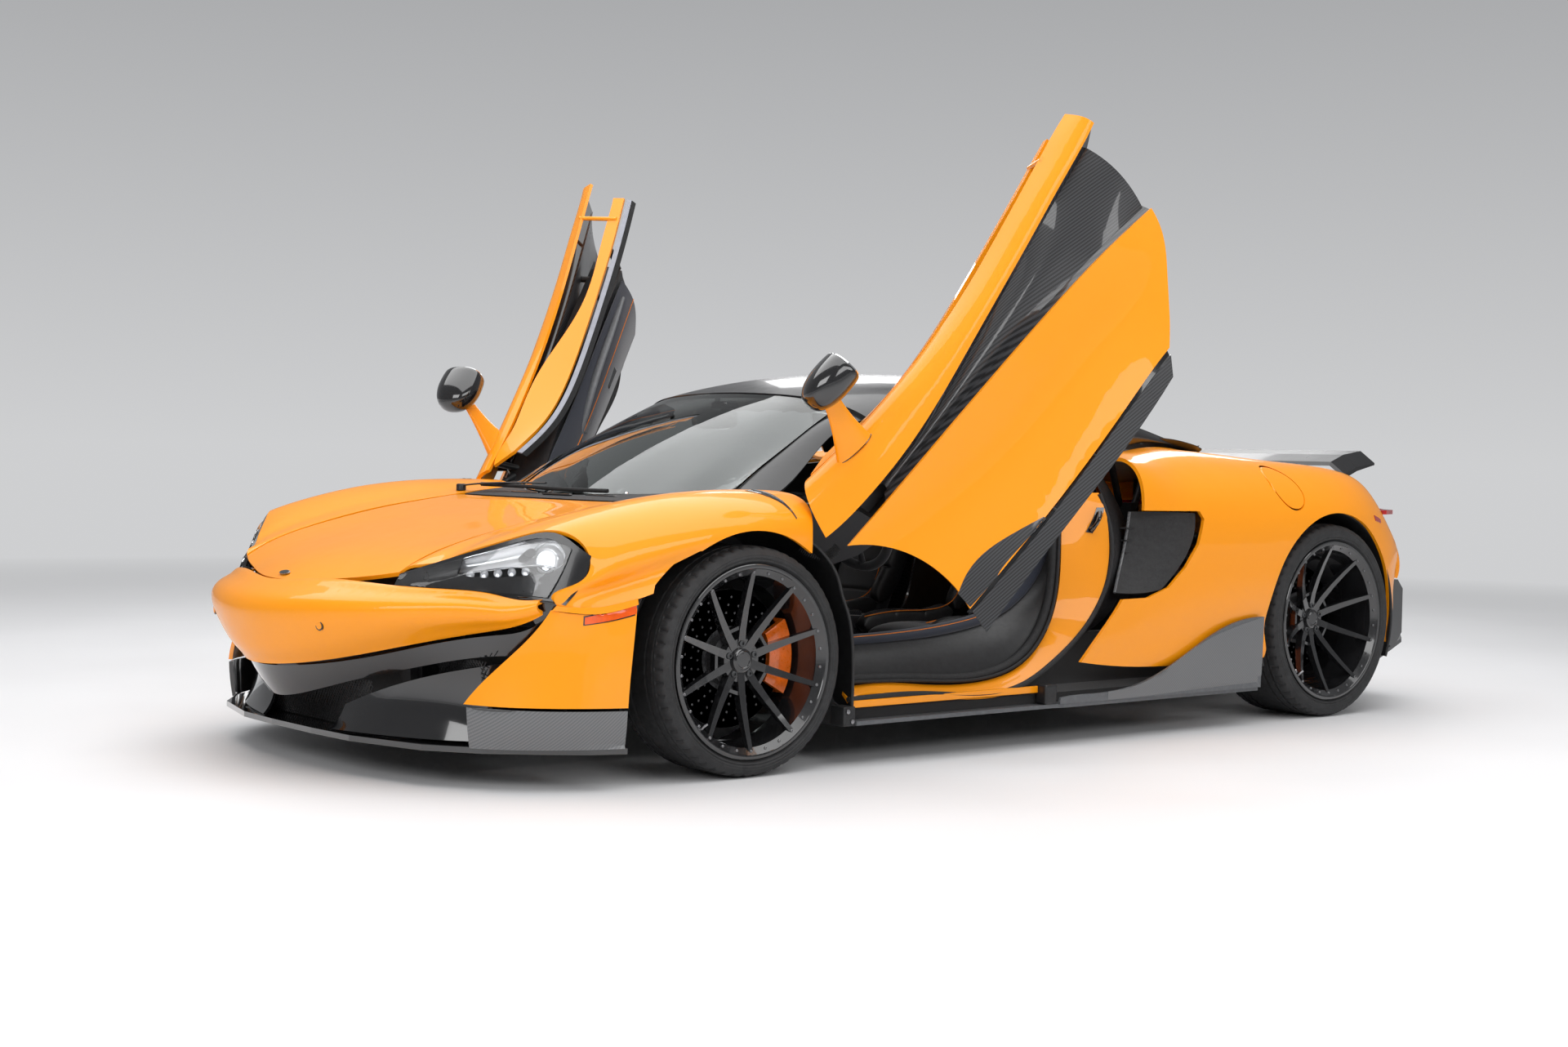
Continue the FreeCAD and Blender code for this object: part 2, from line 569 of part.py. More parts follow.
def door_hinge_pin():
    """Door hinge pin, the two lugs that hold it and the bow that joins them round the eye."""
    axis = DOOR_AXIS
    pin = rod(DOOR_PIVOT - axis * 24, DOOR_PIVOT + axis * 24, PIN_R)
    lugs = [rod(DOOR_PIVOT + axis * a, DOOR_PIVOT + axis * b, PIN_R + 5) for a, b in ((-24, -15), (15, 24))]
    return union([pin] + lugs)


def floor_tub():
    """Carbon floor with its side sills."""
    floor = box(-640, 950, -700, 700, FLOOR_Z, FLOOR_Z + FLOOR_T)
    sill = prism_x([(680, FLOOR_Z), (892, FLOOR_Z), (892, 162), (838, 180), (720, SILL_TOP_Z), (680, SILL_TOP_Z)],
                   -600, 945)
    return union([floor, sill, mirrored(sill)])


def front_bulkhead():
    """Toe board, dash beam, pillar feet and the door hinge brackets."""
    floor = FLOOR_Z + FLOOR_T + FIT_GAP
    toe = box(925, 950, -660, 660, floor, 700)
    beam = box(925, 1000, -640, 640, 610, 700)
    foot = prism_y([(925, floor), (950, floor), (1000, 640), (1010, 745), (925, 745)], 600, 660)
    arm = rod(V(980, 640, 700), DOOR_PIVOT - DOOR_AXIS * 20, 11)
    pieces = [toe, beam]
    for piece in (foot, arm, door_hinge_pin()):
        pieces += [piece, mirrored(piece)]
    whole = union(pieces)
    swing = rod(DOOR_PIVOT - DOOR_AXIS * 14, DOOR_PIVOT + DOOR_AXIS * 14, 26)
    swing = swing.cut(rod(DOOR_PIVOT - DOOR_AXIS * 20, DOOR_PIVOT + DOOR_AXIS * 20, PIN_R))
    return whole.cut(swing).cut(mirrored(swing))


def front_structure():
    """Luggage bin with the lid's hinge brackets, front rails and bumper beam."""
    bin_outer = box(1150, 1960, -BIN_HALF_W, BIN_HALF_W, 200, 560)
    bin_inner = box(1166, 1944, -BIN_HALF_W + 16, BIN_HALF_W - 16, 216, 600)
    floor = box(950 + FIT_GAP, 2050, -BIN_HALF_W, BIN_HALF_W, FLOOR_Z + 10, FLOOR_Z + 26)
    beam = box(2080, 2140, -420, 420, 300, 400)
    rail = box(1900, 2120, 360, 410, 180, 380)
    radiator = box(2044, 2084, -400, 400, FLOOR_Z + 10, 320)
    rail_low = box(950 + FIT_GAP, 2050, 380, BIN_HALF_W, FLOOR_Z + 10, 240)
    shape = union([bin_outer, floor, beam, radiator, rail, mirrored(rail), rail_low, mirrored(rail_low)]).cut(bin_inner)
    stay = box(LID_PIVOT_X - 5, LID_PIVOT_X + 5, 404, 418, 540, LID_PIVOT_Z + 6)
    pin = drum(LID_PIVOT_X, LID_PIVOT_Z, 386, 410, LID_PIN_R)
    return union([shape, stay, pin, mirrored(stay), mirrored(pin)])


def lid_hinges():
    """Eyes under the lid's back edge."""
    eyes = []
    for y0 in (388, -400):
        eye = drum(LID_PIVOT_X, LID_PIVOT_Z, y0, y0 + 12, LID_PIN_R + 5)
        web = box(LID_PIVOT_X - 5, LID_PIVOT_X + 5, y0, y0 + 12, LID_PIVOT_Z, LID_PIVOT_Z + 16)
        bore = drum(LID_PIVOT_X, LID_PIVOT_Z, y0 - 1, y0 + 13, LID_PIN_R + FIT_GAP)
        eyes.append(eye.fuse(web).cut(bore))
    return eyes


def rear_structure():
    """Cabin's rear wall and the rear subframe: rails, struts and cross-members round the engine."""
    floor = FLOOR_Z + FLOOR_T + FIT_GAP
    wall = box(-640, -612, -620, 620, floor, 760)
    rail = box(-1800, -630, 310, RAIL_Y, 180, 300)
    upper = box(-1780, -630, 310, RAIL_Y, 400, 470)
    strut = box(-1780, -1720, 310, RAIL_Y, 180, 640)
    strut_front = box(-1340, -1290, 310, RAIL_Y, 180, 450)
    cross = box(-1800, -1750, -RAIL_Y, RAIL_Y, 180, 300)
    cross_front = box(-1330, -1280, -RAIL_Y, RAIL_Y, 180, 206 - FIT_GAP)
    carrier = box(-1200, -700, -RAIL_Y, RAIL_Y, 180, 206 - FIT_GAP)
    pieces = [wall, cross, cross_front, carrier]
    for piece in (rail, upper, strut, strut_front):
        pieces += [piece, mirrored(piece)]
    return union(pieces)


def seated(shape, panels):
    """The largest piece of a shape that is left when it stops a fit gap short of the panels."""
    for panel in panels:
        shape = shape.cut(panel)
        for step in (V(0, 0, -FIT_GAP), V(0, 0, FIT_GAP)):
            nudged = panel.copy()
            nudged.translate(step)
            shape = shape.cut(nudged)
    return max(shape.Solids, key=lambda solid: solid.Volume)


def diffuser():
    """Under-tail with upright strakes and the blades at the tail's corners."""
    plate = prism_y([(-1770, 150), (-1770, 166), (-2080, 292), (-2175, 322), (-2175, 306), (-2080, 276)], -812, 812)
    strakes = []
    for y in (-620, -400, -180, 180, 400, 620):
        strakes.append(prism_y([(-1780, 134), (-1780, 160), (-2165, 315), (-2165, 236), (-2040, 150)], y - 5, y + 5))
    blade = prism_y(CORNER_BLADE_EDGE, 798, 812)
    plan = prism_z([(-1760, -820), (-1760, 820), (-1960, 820), (-2100, 700), (-2180, 480), (-2180, -480), (-2100, -700),
                    (-1960, -820)], 100, 600)
    return union([plate, blade, mirrored(blade)] + strakes).common(plan)


def rear_wing(deck):
    """Fixed wing on two uprights, with ends that curl down."""
    half = 610
    profile = [(-1762, 902), (-1772, 916), (-1850, 944), (-1962, 960), (-1962, 952), (-1850, 928), (-1775, 900)]
    plane = prism_y(profile, -half, half)
    tip_outer = polygon([V(x, half, z) for x, z in profile])
    tip_end = polygon([V(x - 4, half + 62, z - 46) for x, z in profile])
    tip = fixed(Part.makeLoft([tip_outer.OuterWire, tip_end.OuterWire], True, True))
    stand = post(V(-1860, 420, 938), V(-1845, 420, 700), 13, [deck])
    return union([plane, tip, mirrored(tip), stand, mirrored(stand)])


def exhaust():
    """Silencer across the tail and its two tips through the deck."""
    silencer = drum(-1750, 540, -310 + FIT_GAP, 310 - FIT_GAP, 84)
    tips = []
    for y in (-120, 120):
        outer = rod(V(-1750, y, 560), V(-1786, y, 872), 42)
        bore = rod(V(-1759, y, 640), V(-1786, y, 873), 38)
        tips.append(outer.cut(bore))
    return union([silencer] + tips)


def tail_lamp(fascia, quarter_panel):
    """Thin light blade along the tail's edge, cut to the tail's surface."""
    outline = [(-2030, 470), (-1992, 600), (-1930, 740), (-1860, 832), (-1780, 860), (-1700, 800), (-1900, 560), (-1950, 470)]
    strip = prism_z(outline, 722, 738).cut(fascia)
    for step in (V(0, 0, 0), V(0, 3, 0), V(-3, 0, 0)):
        nudged = quarter_panel.copy()
        nudged.translate(step)
        strip = strip.cut(nudged)
    return min(strip.Solids, key=lambda solid: solid.CenterOfMass.x - solid.CenterOfMass.y)


def seat():
    """Bucket seat: cushion, back and side bolsters."""
    floor = FLOOR_Z + FLOOR_T + FIT_GAP
    base = prism_y([(-330, floor), (250, floor), (275, 320), (230, 345), (-180, 300), (-330, 300)], 210, 530)
    back = prism_y([(-330, floor), (-180, 290), (-335, 700), (-400, 930), (-480, 960), (-505, 900),
                    (-430, 600)], 215, 525)
    side = prism_y([(-340, floor), (250, floor), (280, 350), (230, 385), (0, 350), (-150, 385), (-290, 640),
                    (-380, 760), (-440, 600)], 0, 42)
    bolsters = []
    for y in (175, 523):
        piece = side.copy()
        piece.translate(V(0, y, 0))
        bolsters.append(piece)
    return union([base, back] + bolsters)


def dashboard():
    """Dash top, cluster and centre console, with the steering column."""
    floor = FLOOR_Z + FLOOR_T + FIT_GAP
    top = prism_y([(925 - FIT_GAP, 560), (925 - FIT_GAP, 720), (800, 760), (640, 720), (620, 640), (700, 600),
                   (860, 560)], -660, 660)
    console = prism_y([(925 - FIT_GAP, floor), (925 - FIT_GAP, 560), (860, 560), (560, 380), (-100, 340),
                       (-300, floor)], -110, 110)
    column = rod(V(660, 370, 640), WHEEL_CENTRE - WHEEL_AXIS * 12, 24)
    return union([top, console, column])


def steering_wheel():
    ring = Part.makeTorus(172, 15, WHEEL_CENTRE, WHEEL_AXIS)
    hub = rod(WHEEL_CENTRE - WHEEL_AXIS * 40, WHEEL_CENTRE + WHEEL_AXIS * 12, 45)
    spokes = [rod(WHEEL_CENTRE, WHEEL_CENTRE + V(0, s * 172, 0), 10) for s in (-1, 1)]
    low = V(0, 0, -172)
    low = low - WHEEL_AXIS * low.dot(WHEEL_AXIS)
    spokes.append(rod(WHEEL_CENTRE, WHEEL_CENTRE + low.normalize() * 172, 10))
    socket = rod(WHEEL_CENTRE - WHEEL_AXIS * 60, WHEEL_CENTRE - WHEEL_AXIS * (12 - FIT_GAP), 24 + FIT_GAP)
    return union([ring, hub] + spokes).cut(socket)


def flap_hinge():
    """Flap's pivot at the outer surface, and the direction of its pin down the slope."""
    slope = V(0, 56, -86)
    slope.normalize()
    pivot = V(FLAP_CENTRE[0] + FLAP_R + SHUT_GAP / 2, FLAP_Y, FLAP_CENTRE[1])
    return pivot, slope


def fuel_flap(quarter_skin):
    """Round flap with the barrel of its hinge on its front edge."""
    pivot, slope = flap_hinge()
    disc = quarter_skin.common(drum(*FLAP_CENTRE, 700, 1000, FLAP_R))
    for a, b in ((-19, -8), (8, 19)):
        disc = disc.cut(rod(pivot + slope * a, pivot + slope * b, 5.5))
    barrel = rod(pivot - slope * 8, pivot + slope * 8, 4.5)
    bore = rod(pivot - slope * 30, pivot + slope * 30, FLAP_PIN_R + FIT_GAP)
    return union([disc, barrel]).cut(bore)


def flap_pin(panel):
    """The left quarter with the two outer barrels and the pin of the flap's hinge."""
    pivot, slope = flap_hinge()
    barrels = [rod(pivot + slope * a, pivot + slope * b, 4.5) for a, b in ((-17, -8.3), (8.3, 17))]
    pin = rod(pivot - slope * 17, pivot + slope * 17, FLAP_PIN_R)
    panel = panel.cut(rod(pivot - slope * 8.3, pivot + slope * 8.3, 6.0))
    return union([panel] + barrels + [pin])


def wishbone(axle, z, base_y, hub_y, half_base, eye):
    """Two legs from the frame's side to the hub, where the eye sits."""
    tip = V(axle, hub_y, z)
    legs = [rod(V(axle + s * half_base, base_y - 20, z), tip, 14) for s in (-1, 1)]
    shape = union(legs + [eye])
    return shape.cut(box(axle - 300, axle + 300, base_y - 60, base_y + FIT_GAP, z - 30, z + 30))


def suspension_arms():
    """Upper and lower wishbones at all four corners."""
    arms = []
    for z in (LOWER_ARM_Z, UPPER_ARM_Z):
        eye = Part.makeCylinder(20, 26, V(AXLE_F, KING_PIN_Y, z - 13))
        front = wishbone(AXLE_F, z, BIN_HALF_W, KING_PIN_Y, 150, eye)
        front = front.cut(Part.makeCylinder(KING_PIN_R + FIT_GAP, 60, V(AXLE_F, KING_PIN_Y, z - 30)))
        foot = box(AXLE_R - 22, AXLE_R + 22, 670, 705 - FIT_GAP, z - 16, z + 16)
        rear = wishbone(AXLE_R, z, RAIL_Y, 685, 150, foot)
        arms += [front, mirrored(front), rear, mirrored(rear)]
    return Part.makeCompound(arms)


def knuckle():
    """Left steering knuckle: king pins above and below, the spindle and the caliper bracket."""
    body = box(AXLE_F - 36, AXLE_F + 36, 736, 768, LOWER_ARM_Z + 14, UPPER_ARM_Z - 14)
    pin = Part.makeCylinder(KING_PIN_R, UPPER_ARM_Z - LOWER_ARM_Z + 40, V(AXLE_F, KING_PIN_Y, LOWER_ARM_Z - 20))
    spindle = drum(AXLE_F, TYRE_R_FRONT, 766, TYRE_FACE_Y_FRONT - RIM_INSET - DISH_FRONT - HUB_CAP_T - 1, SPINDLE_R)
    bracket = box(AXLE_F - 172, AXLE_F - 30, 744, CALIPER_Y_FRONT - FIT_GAP, TYRE_R_FRONT - 26, TYRE_R_FRONT + 26)
    return union([body, pin, spindle, bracket])


def rear_upright():
    """Rear upright with its spindle and caliper bracket."""
    body = box(AXLE_R - 50, AXLE_R + 50, 705, 728, 200, 480)
    spindle = drum(AXLE_R, TYRE_R_REAR, 728, TYRE_FACE_Y_REAR - RIM_INSET - DISH_REAR - HUB_CAP_T - 1, SPINDLE_R)
    bracket = box(AXLE_R + 40, AXLE_R + 168, 710, CALIPER_Y_REAR - FIT_GAP, TYRE_R_REAR - 26, TYRE_R_REAR + 26)
    return union([body, spindle, bracket])


def brake_disc(dish, radius):
    """Disc and bell behind the rim's hub, with the rim's outer face at y = 0."""
    back = -dish - 30
    bell = drum(0, 0, back - 40, back, 80)
    rotor = drum(0, 0, back - 40 - DISC_T + 8, back - 40 + 8, radius)
    bore = drum(0, 0, back - 200, back + 1, SPINDLE_R + FIT_GAP)
    return bell.fuse(rotor).cut(bore)


def caliper(axle, tyre_r, rim_face_y, dish, disc_r, side_x):
    """Caliper over the disc's rear or front edge."""
    back = rim_face_y - dish - 30
    rotor_y0 = back - 40 - DISC_T + 8
    rotor_y1 = back - 40 + 8
    ring = drum(axle, tyre_r, rotor_y0 - CALIPER_CHEEK, rotor_y1 + CALIPER_CHEEK - 4, disc_r + 22)
    ring = ring.cut(drum(axle, tyre_r, rotor_y0 - 30, rotor_y1 + 30, disc_r - 60))
    slot = drum(axle, tyre_r, rotor_y0 - 5, rotor_y1 + 5, disc_r + 6)
    wedge = prism_y([(axle, tyre_r), (axle + side_x * 300, tyre_r + 170), (axle + side_x * 300, tyre_r - 170)],
                    rotor_y0 - 40, rotor_y1 + 40)
    return ring.cut(slot).common(wedge)


def door_inner():
    """Door frame and inner trim behind the skin, with the hinge arm and eye."""
    section = prism_x([(892, 336), (808, 336), (752, 480), (712, 600), (706, 722), (760, 738), (800, 742),
                       (840, 728), (842, 596), (892, 590)], -240, 985)
    front = [(850, 336), (912, 400), (952, 500), (966, 590), (978, 690), (640, 730), (300, 760)]
    near = prism_y(front + [(-60, 760), (-30, 700), (-16, 604), (24, 418), (86, 336)], 600, 838)
    outer = prism_y(front + [(-98, 760), (-92, 695), (-40, 590), (8, 412), (56, 336)], 838, 1000)
    panel = section.common(near.fuse(outer).removeSplitter())
    recess = prism_y([(0, 420), (520, 400), (640, 470), (560, 560), (60, 580)], 700, 742)
    arm = rod(V(955, 822, 690), DOOR_PIVOT - V(30, 0, 18), 11)
    eye = rod(DOOR_PIVOT - DOOR_AXIS * 9, DOOR_PIVOT + DOOR_AXIS * 9, PIN_R + 7)
    bore = rod(DOOR_PIVOT - DOOR_AXIS * 20, DOOR_PIVOT + DOOR_AXIS * 20, PIN_R + FIT_GAP)
    link = rod(DOOR_PIVOT, DOOR_PIVOT - V(34, 0, 20), 8)
    return union([panel, arm, eye, link]).cut(bore).cut(recess)


def door_foot_mount(foot):
    """Stays from the door frame down to its foot blade."""
    return [(V(x, 870, 345), V(x, 962, z), 6, [foot, door_skin]) for x, z in ((400, 175), (600, 158), (800, 145))]


def door_mirror(blade):
    """Mirror housing on its stalk."""
    housing = Part.makeSphere(1.0)
    scale = FreeCAD.Matrix()
    scale.scale(V(100, 78, 58))
    housing = housing.transformGeometry(scale)
    housing.translate(V(780, 985, 960))
    stalk = post(V(800, 960, 930), V(880, 840, 740), 18, [blade])
    return union([housing, stalk])


os.makedirs("parts", exist_ok=True)

# Panels of the nose and cowl
GAP = 2.0
front_lid = skin(full_width(LID_LINES), gaps=(GAP, GAP, SHUT_GAP / 2, SHUT_GAP / 2))
front_lid = union([front_lid] + lid_hinges())
fender = skin(FENDER_LINES, gaps=(GAP, 3.0, SHUT_GAP / 2, 0)).cut(front_arch_cut(700, 1100))
fender = fender.cut(opened_clearance())
cowl = skin(full_width(COWL_LINES), gaps=(0, GAP, 0, 0))
nose = skin(full_width(NOSE_LINES), gaps=(5.0, 0, 0, 0))
lamp = skin(LAMP_LINES, 8.0, gaps=(6.0, 30.0, 9.0, 20.0))
corner = skin(CORNER_LINES, gaps=(0, 0, GAP, 0))
lower_nose = skin(full_width(LOWER_NOSE_LINES), 10.0, gaps=(GAP, 0, 0, 0))
plate = prism_z(SPLITTER_EDGE + [(x, -y) for x, y in reversed(SPLITTER_EDGE)], SPLITTER_Z, SPLITTER_Z + SPLITTER_T)
blade_end = skin(END_BLADE_LINES, 10.0)
splitter = union([plate, blade_end, mirrored(blade_end)])
vane = skin(VANE_LINES, 8.0, gaps=(0, 0, 0, 3.0))

# Roof, screen and rear panels
roof_skin = skin(full_width(ROOF_LINES), ROOF_T)
windscreen = skin(full_width(SCREEN_LINES), GLASS_T, gaps=(GAP, GAP, 0, 0))
pillar = seated(skin(PILLAR_LINES, 14.0), [windscreen, roof_skin])
quarter_skin = skin(QUARTER_LINES, gaps=(4.0, GAP, 0, 0))
quarter = quarter_skin.cut(rear_arch_cut(700, 1100))
quarter = quarter.cut(prism_y(INTAKE_EDGE, 800, 1100))
quarter_left = flap_pin(quarter.cut(drum(*FLAP_CENTRE, 700, 1000, FLAP_R + SHUT_GAP)))
buttress = skin(BUTTRESS_LINES, 16.0)
exhaust_pipes = exhaust()
engine_deck = skin(full_width(DECK_LINES))
for side in (-1, 1):
    engine_deck = engine_deck.cut(rod(V(-1750, side * 120, 560), V(-1794, side * 120, 940), 50))
fascia = skin(full_width(FASCIA_LINES), gaps=(8.0, 0, 9.0, 9.0))
tail_strip = tail_lamp(fascia, quarter)
lower_tail = skin(full_width(LOWER_TAIL_LINES), 8.0)
under_tail = diffuser()
duct = skin(INTAKE_LINES, 8.0)
frame = skin(FRAME_LINES, 10.0)
fin = skin(SKIRT_LINES, 8.0)
ledge = prism_z([(940, 892.3), (940, 938), (110, 940), (60, 952), (-905, 958), (-905, 892.3)], SKIRT_Z, SKIRT_Z + 12)

# Structure under the panels
tub = floor_tub()
bulkhead = front_bulkhead()
front_frame = front_structure()
rear_frame = rear_structure()
engine = box(-1240, -690, -260, 260, 206, 640)

tub = with_posts(tub, [
    (V(-560, 760, 240), V(-560, 1000, 330), 12, [quarter]),
    (V(600, 868, 150), V(600, 868, 260), 10, [frame]),
    (V(300, 868, 150), V(300, 868, 260), 10, [frame]),
])
bulkhead = with_posts(bulkhead, [
    (V(985, 630, 690), V(1120, 625, 790), 14, [windscreen, pillar]),
])
front_frame = with_posts(front_frame, [
    (V(2130, 300, 380), V(2500, 300, 400), 12, [nose, lower_nose]),
    (V(2130, 300, 340), V(2500, 300, 250), 12, [nose, lower_nose]),
    (V(1600, 422, 550), V(1600, 575, 800), 10, [fender]),
    (V(1850, 422, 550), V(1850, 560, 800), 10, [fender]),
    (V(1900, 420, 500), V(1980, 800, 640), 12, [lamp, fender, nose, corner]),
    (V(1900, 420, 420), V(1900, 1000, 400), 12, [corner, lower_nose, vane]),
    (V(2080, 330, 180), V(2400, 330, 170), 10, [vane, splitter]),
    (V(1345, 422, 550), V(1345, 422, 900), 10, [cowl]),
    (V(2000, 300, 140), V(2000, 300, 90), 14, [splitter]),
])
rear_frame = with_posts(rear_frame, [
    (V(-625, 600, 700), V(-700, 660, 1000), 12, [quarter, engine_deck, buttress]),
    (V(-625, 450, 740), V(-430, 450, 1200), 12, [engine_deck, roof_skin]),
    (V(-625, 560, 740), V(-420, 665, 990), 12, [buttress, quarter]),
    (V(-625, 600, 640), V(-400, 960, 640), 12, [duct]),
    (V(-1750, 360, 500), V(-1720, 900, 700), 12, [quarter, fascia, tail_strip]),
    (V(-1750, 340, 600), V(-1750, 340, 1100), 12, [engine_deck]),
    (V(-1750, 340, 600), V(-2300, 340, 640), 12, [fascia]),
    (V(-1750, 340, 430), V(-2300, 340, 430), 12, [lower_tail]),
    (V(-1775, 250, 200), V(-1775, 250, 100), 12, [under_tail]),
    (V(-625, 600, 680), V(-130, 905, 690), 12, [frame]),
])

# Doors, modelled closed
door_skin = skin(DOOR_LINES).cut(front_arch_cut(700, 1100))
door_blade = skin(BLADE_LINES, gaps=(9.0, 0, 0, 0))
channel = skin(CHANNEL_LINES, 8.0)
door_foot = skin(DOOR_FOOT_LINES, 8.0)
belt = skin(BELT_LINES, 12.0)
inner = door_inner()
inner = with_posts_one_side(inner, [
    (V(500, 880, 450), V(500, 1000, 450), 14, [door_skin]),
    (V(200, 880, 380), V(200, 1000, 380), 14, [door_skin]),
    (V(700, 880, 380), V(700, 1000, 380), 14, [door_skin]),
    (V(920, 820, 690), V(960, 900, 780), 12, [door_blade]),
    (V(640, 820, 700), V(640, 960, 730), 12, [channel, door_blade]),
    (V(0, 820, 720), V(0, 960, 740), 12, [channel]),
    (V(640, 780, 720), V(640, 780, 900), 12, [belt]),
    (V(-60, 730, 715), V(-60, 715, 1000), 12, [belt]),
    (V(150, 722, 715), V(150, 720, 1000), 8, [belt]),
] + door_foot_mount(door_foot))
blade_arm = post(V(-150, 850, 900), V(-150, 700, 885), 8, [belt])
door_blade = union([door_blade, blade_arm])
mirror = door_mirror(door_blade)

save("floor_tub", tub)
save("front_bulkhead", bulkhead)
save("front_structure", front_frame)
save("rear_structure", rear_frame)
save("engine", engine)
save("front_lid", front_lid)
save("front_fenders", both(fender))
save("cowl", cowl)
save("headlamps", both(lamp))
save("front_bumper", Part.makeCompound([nose, corner, mirrored(corner)]))
save("lower_nose", Part.makeCompound([lower_nose, vane, mirrored(vane)]))
save("splitter", splitter)
save("roof", Part.makeCompound([roof_skin, pillar, mirrored(pillar), buttress, mirrored(buttress)]))
save("windscreen", windscreen)
save("rear_quarters", Part.makeCompound([quarter_left, mirrored(quarter)]))
save("intake_ducts", both(duct))
save("door_frames", both(frame))
save("side_skirts", Part.makeCompound([fin, mirrored(fin), ledge, mirrored(ledge)]))
save("engine_deck", engine_deck)
save("rear_fascia", Part.makeCompound([fascia, lower_tail]))
save("diffuser", under_tail)
save("rear_wing", rear_wing(engine_deck))
save("exhaust", exhaust_pipes)
save("tail_lamps", both(tail_strip))
save("seats", both(seat()))
save("dashboard", dashboard())
save("steering_wheel", steering_wheel())
save("fuel_flap", fuel_flap(quarter_skin))
save("suspension_arms", suspension_arms())
save("rear_uprights", both(rear_upright()))
save("rear_calipers", both(caliper(AXLE_R, TYRE_R_REAR, TYRE_FACE_Y_REAR - RIM_INSET, DISH_REAR, DISC_R_REAR, 1)))

for name, piece in (
    ("door_skin", door_skin),
    ("door_blade", door_blade),
    ("door_carbon", Part.makeCompound([channel, door_foot])),
    ("door_belt", belt),
    ("door_inner", inner),
    ("mirror", mirror),
):
    save(name + "_left", opened(piece))
    save(name + "_right", mirrored(opened(piece)))

front_caliper = caliper(AXLE_F, TYRE_R_FRONT, TYRE_FACE_Y_FRONT - RIM_INSET, DISH_FRONT, DISC_R_FRONT, -1)
for hand, side in (("left", 1), ("right", -1)):
    for name, piece in (("knuckle_", knuckle()), ("caliper_", front_caliper)):
        save(name + hand, piece if side > 0 else mirrored(piece))

# Wheels
for end, axle, tyre_r, width, face_y, rim_r, dish, disc_r in (
    ("f", AXLE_F, TYRE_R_FRONT, TYRE_W_FRONT, TYRE_FACE_Y_FRONT, RIM_R_FRONT, DISH_FRONT, DISC_R_FRONT),
    ("r", AXLE_R, TYRE_R_REAR, TYRE_W_REAR, TYRE_FACE_Y_REAR, RIM_R_REAR, DISH_REAR, DISC_R_REAR),
):
    tyre_shape = tyre(width, tyre_r, rim_r)
    rim_shape = rim(width - 2 * RIM_INSET, rim_r, dish)
    disc_shape = brake_disc(dish, disc_r)
    for hand, side in (("l", 1), ("r", -1)):
        save("tyre_" + end + hand, place_wheel(tyre_shape, axle, tyre_r, face_y, side))
        save("rim_" + end + hand, place_wheel(rim_shape, axle, tyre_r, face_y - RIM_INSET, side))
        save("disc_" + end + hand, place_wheel(disc_shape, axle, tyre_r, face_y - RIM_INSET, side))
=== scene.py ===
"""Looks of the open-doored two-seat supercar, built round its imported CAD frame.

Lengths in this script are millimetres in the car's own layout: x forward from the middle of the
wheelbase, y to the left, z up from the ground. make() turns them into the frame's metres.
Door pieces are written for the closed door and turned to the stored, open place.
"""

import math

import bmesh
import bpy
import numpy as np
from mathutils import Matrix, Vector
from mathutils.bvhtree import BVHTree


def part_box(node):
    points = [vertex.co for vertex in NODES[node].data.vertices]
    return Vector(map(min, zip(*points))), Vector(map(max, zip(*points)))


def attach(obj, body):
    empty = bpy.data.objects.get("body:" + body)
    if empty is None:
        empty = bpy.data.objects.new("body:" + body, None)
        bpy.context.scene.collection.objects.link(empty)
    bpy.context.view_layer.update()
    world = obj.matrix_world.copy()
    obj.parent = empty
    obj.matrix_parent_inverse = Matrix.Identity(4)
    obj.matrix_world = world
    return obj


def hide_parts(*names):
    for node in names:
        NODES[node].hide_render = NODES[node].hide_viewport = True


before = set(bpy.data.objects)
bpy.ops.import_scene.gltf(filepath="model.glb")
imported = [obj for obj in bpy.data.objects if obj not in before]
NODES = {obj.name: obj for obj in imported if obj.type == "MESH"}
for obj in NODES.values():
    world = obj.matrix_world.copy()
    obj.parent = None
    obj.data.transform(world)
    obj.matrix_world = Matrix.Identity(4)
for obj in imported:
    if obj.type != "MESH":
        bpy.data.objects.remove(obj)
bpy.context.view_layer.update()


def middle(node):
    low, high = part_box(node)
    return (low + high) / 2


# How far the frame's origin lies behind the middle of the wheelbase
ORIGIN_X = (middle("tyre_fl").x + middle("tyre_rl").x) / 2 * 1000
AXLE_F, AXLE_R = 1335.0, -1335.0
HUB_F, HUB_R = 326.0, 346.5
DOOR_PIVOT = np.array([1087.0, 850.0, 755.0])
DOOR_AXIS = np.array([0.186, 0.864, -0.468])
DOOR_AXIS /= np.linalg.norm(DOOR_AXIS)
DOOR_OPEN = math.radians(56.3)
X, Y, Z = (1, 0, 0), (0, 1, 0), (0, 0, 1)
INWARD, DOWN = (0, -1, 0), (0, 0, -1)


# Materials

